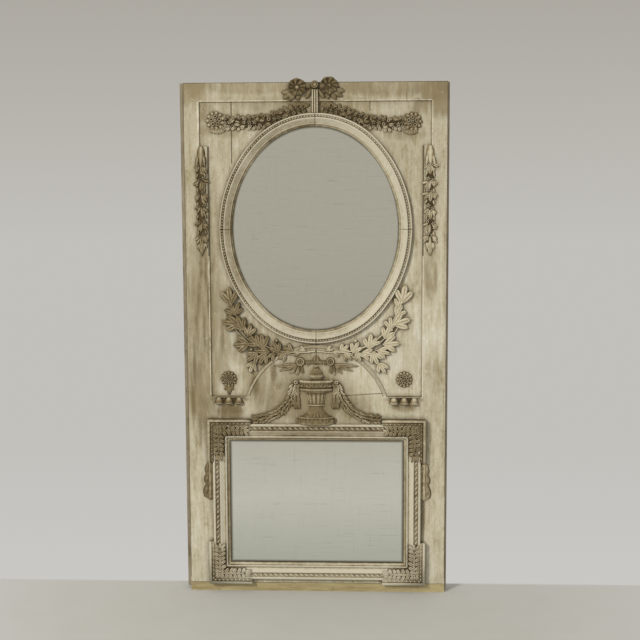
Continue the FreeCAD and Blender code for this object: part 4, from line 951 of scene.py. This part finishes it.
def build_swags(material):
    """A round flower head on each side of the bow, with a packed swag that climbs from it."""
    for side, (x, z) in zip(SIDES, ((405, 2016), (416, 2024))):
        swag = Relief(FIELD)
        lump_band(swag, line((40, 2078), (x - 26, z - 6), 25))
        for number in range(5):
            swag.lobe(46 + 17 * number, 2078 - 4 * number, 150 - 26 * number, 27, 14, 8, 2)
            swag.lobe(52 + 19 * number, 2066 - 4 * number, -130 + 12 * number, 27, 14, 8, 1)
        for number in range(7):
            lean = -60 - 16 * number
            swag.lobe(*turned(x - 6, z - 6, 26, 0, lean), lean, 24, 15, 8, 0.5)
        swag.flower(x - 46, z - 26, 12, 9, 2)
        swag.flower(x - 32, z - 36, 10, 8, 2)
        rosette(swag, x, z, 37, 15, 11, 5)
        swag.one_of_two("swag_carving", material, "top_swag", side)


# The husks of one cup: lane, spread, length, width
HUSKS = ((1, 54, 27, 15), (-1, 54, 27, 15), (1, 22, 36, 16), (-1, 22, 36, 16), (0, 0, 42, 18))
HUSK_CUPS = 6


def build_husks(material):
    """Drops of husks, small flowers and buds down each stile."""
    low, high = span("husk_drop_right")
    middle = (low.x + high.x) / 2
    for side in SIDES:
        drop = Relief(GROUND)
        drop.leaf(middle - 2, high.z, -89, 92, 34, 8, 0.5)
        drop.leaf(middle - 12, high.z - 38, -98, 52, 16, 9, 1.5)
        drop.leaf(middle + 11, high.z - 42, -80, 50, 16, 9, 1.5)
        drop.cord(line((middle, high.z - 60), (middle, low.z + 50)), 32, 3.5, 0.0)
        for number in range(HUSK_CUPS):
            z = high.z - 84 - number * (high.z - low.z - 158) / (HUSK_CUPS - 1) + jitter(7)
            for lane, spread, size, width in HUSKS:
                drop.leaf(middle + 7 * lane + jitter(3), z + 6 + jitter(5), -90 + spread * lane + jitter(14),
                          size, width, 8 + jitter(1.5), 1.2, 1.5 * lane, chance.choice(("groove", "rib")),
                          spread != 22)
            drop.flower(middle - 11 + jitter(3), z + 16 + jitter(3), 10, 8, 3)
            drop.flower(middle + 11 + jitter(3), z + 7 + jitter(3), 9, 8, 3)
            drop.ring(middle - 12 + jitter(3), z - 8 + jitter(3), 7, 7, 3)
            drop.dome(middle + 15, z - 13, 5, 6, 3, sides=8)
            drop.leaf(middle - 14, z - 22, -104 + jitter(10), 22, 12, 7, 1.5)
            drop.leaf(middle + 13, z - 26, -78 + jitter(10), 22, 12, 7, 1.5)
        drop.leaf(middle, low.z + 60, -90, 60, 24, 10, 1, kind="flutes")
        drop.leaf(middle - 9, low.z + 56, -98, 34, 13, 7, 1)
        drop.leaf(middle + 9, low.z + 56, -82, 34, 13, 7, 1)
        drop.one_of_two("husk_carving", material, "husk_drop", side)


# Sprigs of each laurel spray: foot x and z, heading, reach, number of lobes
SPRIGS = {
    "right": (
        (44, 1056, 30, 34, 2), (70, 1054, -24, 40, 2), (104, 1050, 42, 48, 3), (120, 1046, -44, 46, 3),
        (156, 1048, 62, 54, 3), (172, 1050, -64, 46, 3), (196, 1048, -14, 56, 3), (226, 1066, 86, 64, 3),
        (232, 1080, 36, 50, 2), (240, 1050, -64, 58, 3), (262, 1056, -12, 54, 3), (268, 1004, -62, 54, 3),
        (288, 1084, 6, 70, 3), (292, 1110, 66, 60, 3), (318, 1150, 96, 54, 3), (330, 1170, 20, 76, 3),
        (340, 1206, 60, 54, 3), (350, 1236, 92, 54, 2), (364, 1262, 80, 76, 3),
    ),
    "left": (
        (44, 1056, 24, 34, 2), (66, 1054, -20, 40, 2), (100, 1050, 30, 50, 3), (128, 1046, -40, 46, 3),
        (160, 1048, 66, 54, 3), (178, 1050, -58, 44, 2), (200, 1052, 2, 56, 3), (214, 1044, -60, 54, 3),
        (226, 1066, 82, 66, 3), (242, 1080, 40, 60, 3), (250, 1046, -40, 58, 3), (268, 1010, -72, 50, 3),
        (286, 1086, -6, 70, 3), (290, 1120, 104, 56, 3), (312, 1146, 66, 66, 3), (330, 1170, 8, 72, 3),
        (346, 1212, 112, 54, 3), (360, 1256, 84, 76, 3), (340, 1210, 40, 56, 2),
    ),
}
TWIGS = (((150, 1044), (262, 1060)), ((216, 1058), (290, 990)), ((250, 1080), (324, 1152)),
         ((60, 1060), (124, 1040)), ((300, 1108), (352, 1170)))
BERRIES = ((320, 1146), (344, 1232), (168, 1100), (276, 1062))


def build_sprays(material):
    """A branch under each side of the oval, with lobed leaves, twigs and berries."""
    for side in SIDES:
        branch = Relief(GROUND, FIELD - GROUND)
        branch.cord(line((3, ARCH_TOP - 25), (366, 1276), 92), lambda u: 9 - 4 * u, 8, 0.8)
        for start, end in TWIGS:
            branch.cord(line(start, end, 8), 5, 5, 0.9, steps=8)
        for x, z, heading, reach, lobes in SPRIGS[side]:
            width = reach * 0.34
            for number in range(lobes):
                lane = number - (lobes - 1) / 2
                size = reach * (1 - 0.17 * abs(lane)) * (1 + jitter(0.05))
                branch.lobe(x, z, heading + lane * 36 + jitter(3), size, width, 9.5, 1.5 - 0.6 * abs(lane),
                            -2.0 * lane)
            branch.dome(x, z, width * 0.22, 8.55, 1.5, sides=7)
        for x, z in BERRIES:
            branch.dome(x, z, 7, 8, 1)
        branch.one_of_two("spray_carving", material, "laurel_spray", side)


def ribbon_loop(relief, x, z, heading):
    """A gathered loop of ribbon: a rolled rim round pleats that sink to an eye painted dark as shade."""
    radius, squash, height, pleats = 38, 0.97, 13, 9

    def shape(u, v):
        turn = 2 * pi * v
        fold = cos(turn * pleats + 1.2 * sin(turn * 2) + 3 * u)
        reach = radius * (0.2 + 0.8 * min(u * 1.08, 1)) * (1 + 0.035 * fold * u)
        rim = exp(-((u - 0.8) / 0.13) ** 2)
        fan = sin(pi * min(0.1 + u * 0.8, 1)) * (0.5 + 0.5 * fold)
        rise = 1.5 + height * (0.35 * u + 0.6 * rim + 0.35 * fan)
        wear_and_shade = 0.55 * rim * (0.7 + 0.3 * fold) + 0.6 * fan * (1 - rim)
        return *turned(x, z, reach * cos(turn), reach * sin(turn) * squash, heading), rise, wear_and_shade

    relief.patch(shape, 12, pleats * 8, "round")
    relief.dome(x, z, radius * 0.24, 3.0, 1)


def build_top_bow(material):
    """The crowning bow, its knob and the ribbon that ties it to the oval."""
    bow = Relief(GROUND)
    bow.cord(line((-60, 2158), (60, 2160), 2), 26, 6, 0.1)
    for way, x, z in ((1, 58, 2165), (-1, -74, 2159)):
        for lean, size, foot in ((-36, 58, 8), (-58, 52, 0), (-12, 50, 16), (-84, 40, -8)):
            bow.leaf(x + foot * way, z - 16, facing(lean, way) + jitter(5), size, 21, 9, 1, 3 * way,
                     "flutes", True)
        ribbon_loop(bow, x, z, 12 * way)
        bow.leaf(15 * way, 2152, facing(-60, way), 46, 17, 9, 2, 0, "flutes", True)
        bow.leaf(9 * way, 2162, facing(6, way), 34, 20, 12, 3, 0, "flutes", True)
    bow.dome(0, 2168, 17.5, 8, 16, rings=4, sides=24)
    bow.ring(0, 2168, 14.5, 5.0, 22.0, 0.62, 24)
    bow.dome(0, 2168, 9, 4, 23.5, rings=4, sides=20)
    bow.piece("bow_carving", material, "top_bow")
    strap = Relief(FIELD)
    low = span("ribbon_strap")[0].z
    strap.cord(line((0, 2150), (0, low + 1)), 30, 15, 0.5)
    for x in (-9.5, 0, 9.5):
        strap.cord(line((x, 2150), (x, low + 1)), 8.6, 4.5, 1.4, 13)
    strap.piece("strap_carving", material, "ribbon_strap")


def build_garlands(material):
    """A leafy garland down each hollow side of the crest, and the tassel that hangs by the urn."""
    for side in SIDES:
        garland = Relief(CREST_FRONT)
        leafy_band(garland, line((90, 918), (266, 762), 50))
        garland.cord(line((84, 920), (82, 812)), lambda u: 9 + 14 * u, lambda u: 4 + 4 * u, 0.1)
        for number in range(7):
            for lane in (1, -1):
                garland.lobe(84 + 3 * lane, 912 - number * 11, -90 + 24 * lane + jitter(5), 19 + number,
                             9 + number * 0.5, 6, 1.5 + number * 0.3)
        for lane in (-1, 0, 1):
            garland.lobe(82 + 7 * lane, 840, -90 + 7 * lane, 34, 11, 7, 3)
        garland.ring(86, 922, 9, 8, 3)
        garland.one_of_two("garland_carving", material, "crest_garland", side)


# The urn's outline: height above seat, radius, paleness and painted shade, and flute number and depth
URN_OUTLINE = (
    (0, 77, 0.2), (3, 77, 0.9), (27, 76, 0.5, 26, 2.4), (31, 74, 1.0), (33, 68, 0.2), (36, 62, 0.7, 24, 1.0),
    (44, 48, 0.6, 24, 1.0), (54, 37, 0.6), (64, 30, 0.6), (74, 27, 0.6), (79, 28, 0.3), (81, 37, 0.9),
    (85, 37, 0.9), (87, 34, 0.2), (92, 35, 0.8, 12, 4.5), (108, 37, 0.86, 12, 5.0), (126, 39, 0.86, 12, 5.0),
    (133, 40, 0.6, 12, 3.0), (136, 43, 0.4), (141, 52, 0.8), (147, 66, 0.7), (149, 70, 0.9), (153, 70, 1.0),
    (156, 67, 0.1, 30, 2.6), (166, 67, 0.7, 30, 3.4), (180, 68, 0.6, 30, 3.4), (184, 71, 1.0), (190, 71, 1.0),
    (191, 60, 0.4), (192, 26, 0.1), (205, 25, 0.9), (207, 31, 1.0), (211, 31, 0.6), (214, 27, 0.3, 20, 1.5),
    (226, 22, 0.8, 20, 1.5), (238, 15, 0.8, 20, 1.0), (244, 10, 0.3), (249, 9, 0.9), (253, 6, 0.9),
    (255, 0.5, 0.8),
)
URN_FLATNESS = 30 / 77

# Leaves round the urn: number of pairs, radius, height above the seat, their headings, then size and lift
URN_LEAVES = ((7, 66, 162, (35, 145), (17, 9, 3.8), 0.4), (8, 75, 5, (60, 120), (22, 11, 4.6), -1.8))


def build_urn(material):
    """A half urn in relief, fluted round its body, with carved bands at rim and base."""
    urn = Relief(CREST_FRONT)
    last = len(URN_OUTLINE) - 1

    def shape(u, v):
        rise, radius, wear_and_shade, *fluting = URN_OUTLINE[round(u * last)]
        flutes, depth = fluting or (0, 0)
        turn = pi * v
        groove = abs(sin(turn * flutes / 2)) ** 0.7 if flutes else 1.0
        reach = radius - depth * (1 - groove)
        lift = sin(turn) * reach * URN_FLATNESS
        return -cos(turn) * reach, MOULDING_TOP + rise, lift, wear_and_shade * (0.2 + 0.8 * groove)

    urn.patch(shape, last, 84)
    for count, radius, rise, leans, size, lift in URN_LEAVES:
        for number in range(count):
            turn = pi * (number + 0.5) / count
            base = sin(turn) * radius * URN_FLATNESS + lift
            for lean in leans:
                urn.lobe(-cos(turn) * radius, MOULDING_TOP + rise, lean, *size, base)
    urn.piece("urn_carving", material, "urn")


def build_arch_bow(material):
    """A small bow on the arch with a bud, two rings, and forked ribbon ends."""
    bow = Relief(GROUND)
    bow.cord(line((-60, 1006), (60, 1006), 3), 12, 4, 0.2)
    for x, z, radius in ((-67, 1009, 20), (61, 1010, 19)):
        bow.ring(x, z, radius, 9, 0.5, 0.45, 20)
        bow.ring(x, z, radius * 0.45, 6, 1.0, 0.4)
    for lean, size, width in ((56, 27, 13), (124, 27, 13), (90, 35, 25)):
        bow.leaf(0, 1002, lean, size, width, 9, 0.5, 0, "groove", lean == 90)
    for way in (1, -1):
        bow.leaf(2 * way, 1005, facing(4, way), 46, 16, 7, 1, 0, "flutes", True)
        bow.flower(22 * way, 1008, 9, 7, 2)
        bow.ring(36 * way, 1001, 6.5, 6, 2)
        for lean, size, curl in ((-6, 106, 4), (-17, 86, -3)):
            bow.leaf(76 * way, 997, facing(lean, way), size, 17, 10, 0.4, curl * way, "groove")
        for x, lean, size in ((80, -50, 46), (72, -76, 42), (64, -100, 34)):
            bow.lobe(x * way, 992, facing(lean, way) + jitter(6), size, 14, 9, 0.4)
    bow.piece("arch_bow_carving", material, "arch_bow")


def build_paterae(material):
    """A flower head on each field foot, its pierced eyes painted dark as shade; the left keeps its stem."""
    for side in SIDES:
        low, high = span("patera_" + side)
        x, z = abs(low.x + high.x) / 2, high.z - 33
        flower = Relief(FIELD)
        rosette(flower, x, z, 33, 15, 12, 6)
        if side == "left":
            for lane in (-1, 0, 1):
                flower.leaf(x + 7 * lane, z - 24, -90 - 7 * lane, 45, 15, 8, 0.5, 0, "groove")
            for way in (-1, 1):
                flower.lobe(x + 10 * way, z - 24, -90 + 16.8 * way, 26, 13, 6, 0.5)
        flower.one_of_two("patera_carving", material, "patera", side)


# Outline of one tapered drop: share of the way down, radius, worn paleness and painted shade
DROP_OUTLINE = ((0, 6, 0.3), (0.1, 10, 0.9), (0.5, 15, 0.7), (0.84, 19.6, 0.5), (0.88, 21.2, 1.0),
                (1.0, 21.2, 0.8), (1.0, 1, 0.0))
DROP_PITCH = 43


def build_guttae(material):
    """Three tapered drops under a strip, ringed at the foot."""
    for side in SIDES:
        low, high = span("guttae_" + side)
        inner, outer = sorted((abs(low.x), abs(high.x)))
        middle, top = (inner + outer) / 2, high.z - 3
        row = Relief(GROUND)
        for x in (middle - DROP_PITCH, middle, middle + DROP_PITCH):
            def shape(u, v):
                share, radius, wear_and_shade = DROP_OUTLINE[round(u * 6)]
                turn = pi * v
                # Painted shade: each drop darker down towards its foot and round its flanks.
                worn = (1.5 * wear_and_shade - 0.4 * share) * (0.1 + 0.9 * sin(turn))
                return x - cos(turn) * radius, top - share * (top - low.z), sin(turn) * radius, worn

            row.patch(shape, 6, 16)
        row.cord(line((middle - 50, high.z - 14), (middle + 50, high.z - 14)), 24, 1.2, 0.0)
        row.cord(line((inner, high.z - 2.5), (outer, high.z - 2.5)), 5, 11)
        row.one_of_two("guttae_carving", material, "guttae", side)


def build_side_scrolls(material):
    """A short run of curled leaves on each stile beside the rectangular glass."""
    low, high = span("side_scroll_right")
    for side in SIDES:
        run = Relief(GROUND)
        for foot, drop, size, width in ((8, -1, 62, 44), (7, 43, 60, 54), (7, 86, 82, 60)):
            x, z = low.x + foot, high.z - drop
            run.leaf(x, z, -88, size, width, 11, 0.5, 0, "flutes", True)
            run.lobe(x + width * 0.2, z - 14, -82, size * 0.5, 10, 5, 8)
        run.one_of_two("scroll_carving", material, "side_scroll", side)


def build_arch_bead(material):
    """A flat bead along the arch, kept clear of its feet."""
    radius = ARCH_TOP - ARCH_CENTRE - 7
    first = asin((FIELD_FOOT + 8 - ARCH_CENTRE) / radius)

    def arc(u):
        turn = first + u * (pi - 2 * first)
        return -radius * cos(turn), ARCH_CENTRE + radius * sin(turn)

    bead = Relief(GROUND)
    bead.cord(arc, 9.0, 1.8, 0.42, steps=72)
    bead.piece("arch_bead", material, slot="moulding_paint")


# Build ------------------------------------------------------------------------------------------------------

place_camera()
build_floor()
build_world()
for name, lamp in LAMPS.items():
    add_lamp(name, *lamp)

boards = painted_boards()
mouldings = carved_paint("moulding_paint", MOULDING_GLOOM, lift=0.05, pale=(189, 182, 160),
                         middle=(157, 145, 117), dark=(76, 64, 40), low=0.34, high=0.74, grain=46.0)
carved = carved_paint("carved_wood", CARVED_GLOOM, lift=0.25, pale=(192, 182, 155),
                      middle=(128, 113, 82), dark=(52, 42, 23), low=0.46, high=0.95, grain=70.0)
slot_material = {"painted_boards": boards, "moulding_paint": mouldings, "carved_wood": mouldings}
for name, looks in SAWN_WOODS.items():
    slot_material[name] = sawn_wood(name, *looks)
slot_material["mirror_glass"] = old_mirror("mirror_glass", OVAL_TINTS, rim_of_oval)
lower_silver = old_mirror("mirror_glass_lower", LOWER_TINTS, rim_of_rectangle)

for part in frame["record"]["subparts"]:
    for slot in nodes[part["node"]].material_slots:
        slot.material = slot_material[part["material_slot"]]
nodes["lower_glass"].material_slots[0].material = lower_silver

build_oval_frame(mouldings)
build_lower_frame(mouldings)
build_corners(carved, mouldings)
for build in (build_swags, build_husks, build_sprays, build_top_bow, build_garlands, build_urn,
              build_arch_bow, build_paterae, build_guttae, build_side_scrolls):
    build(carved)
build_arch_bead(mouldings)

bpy.context.scene.view_settings.view_transform = "Standard"
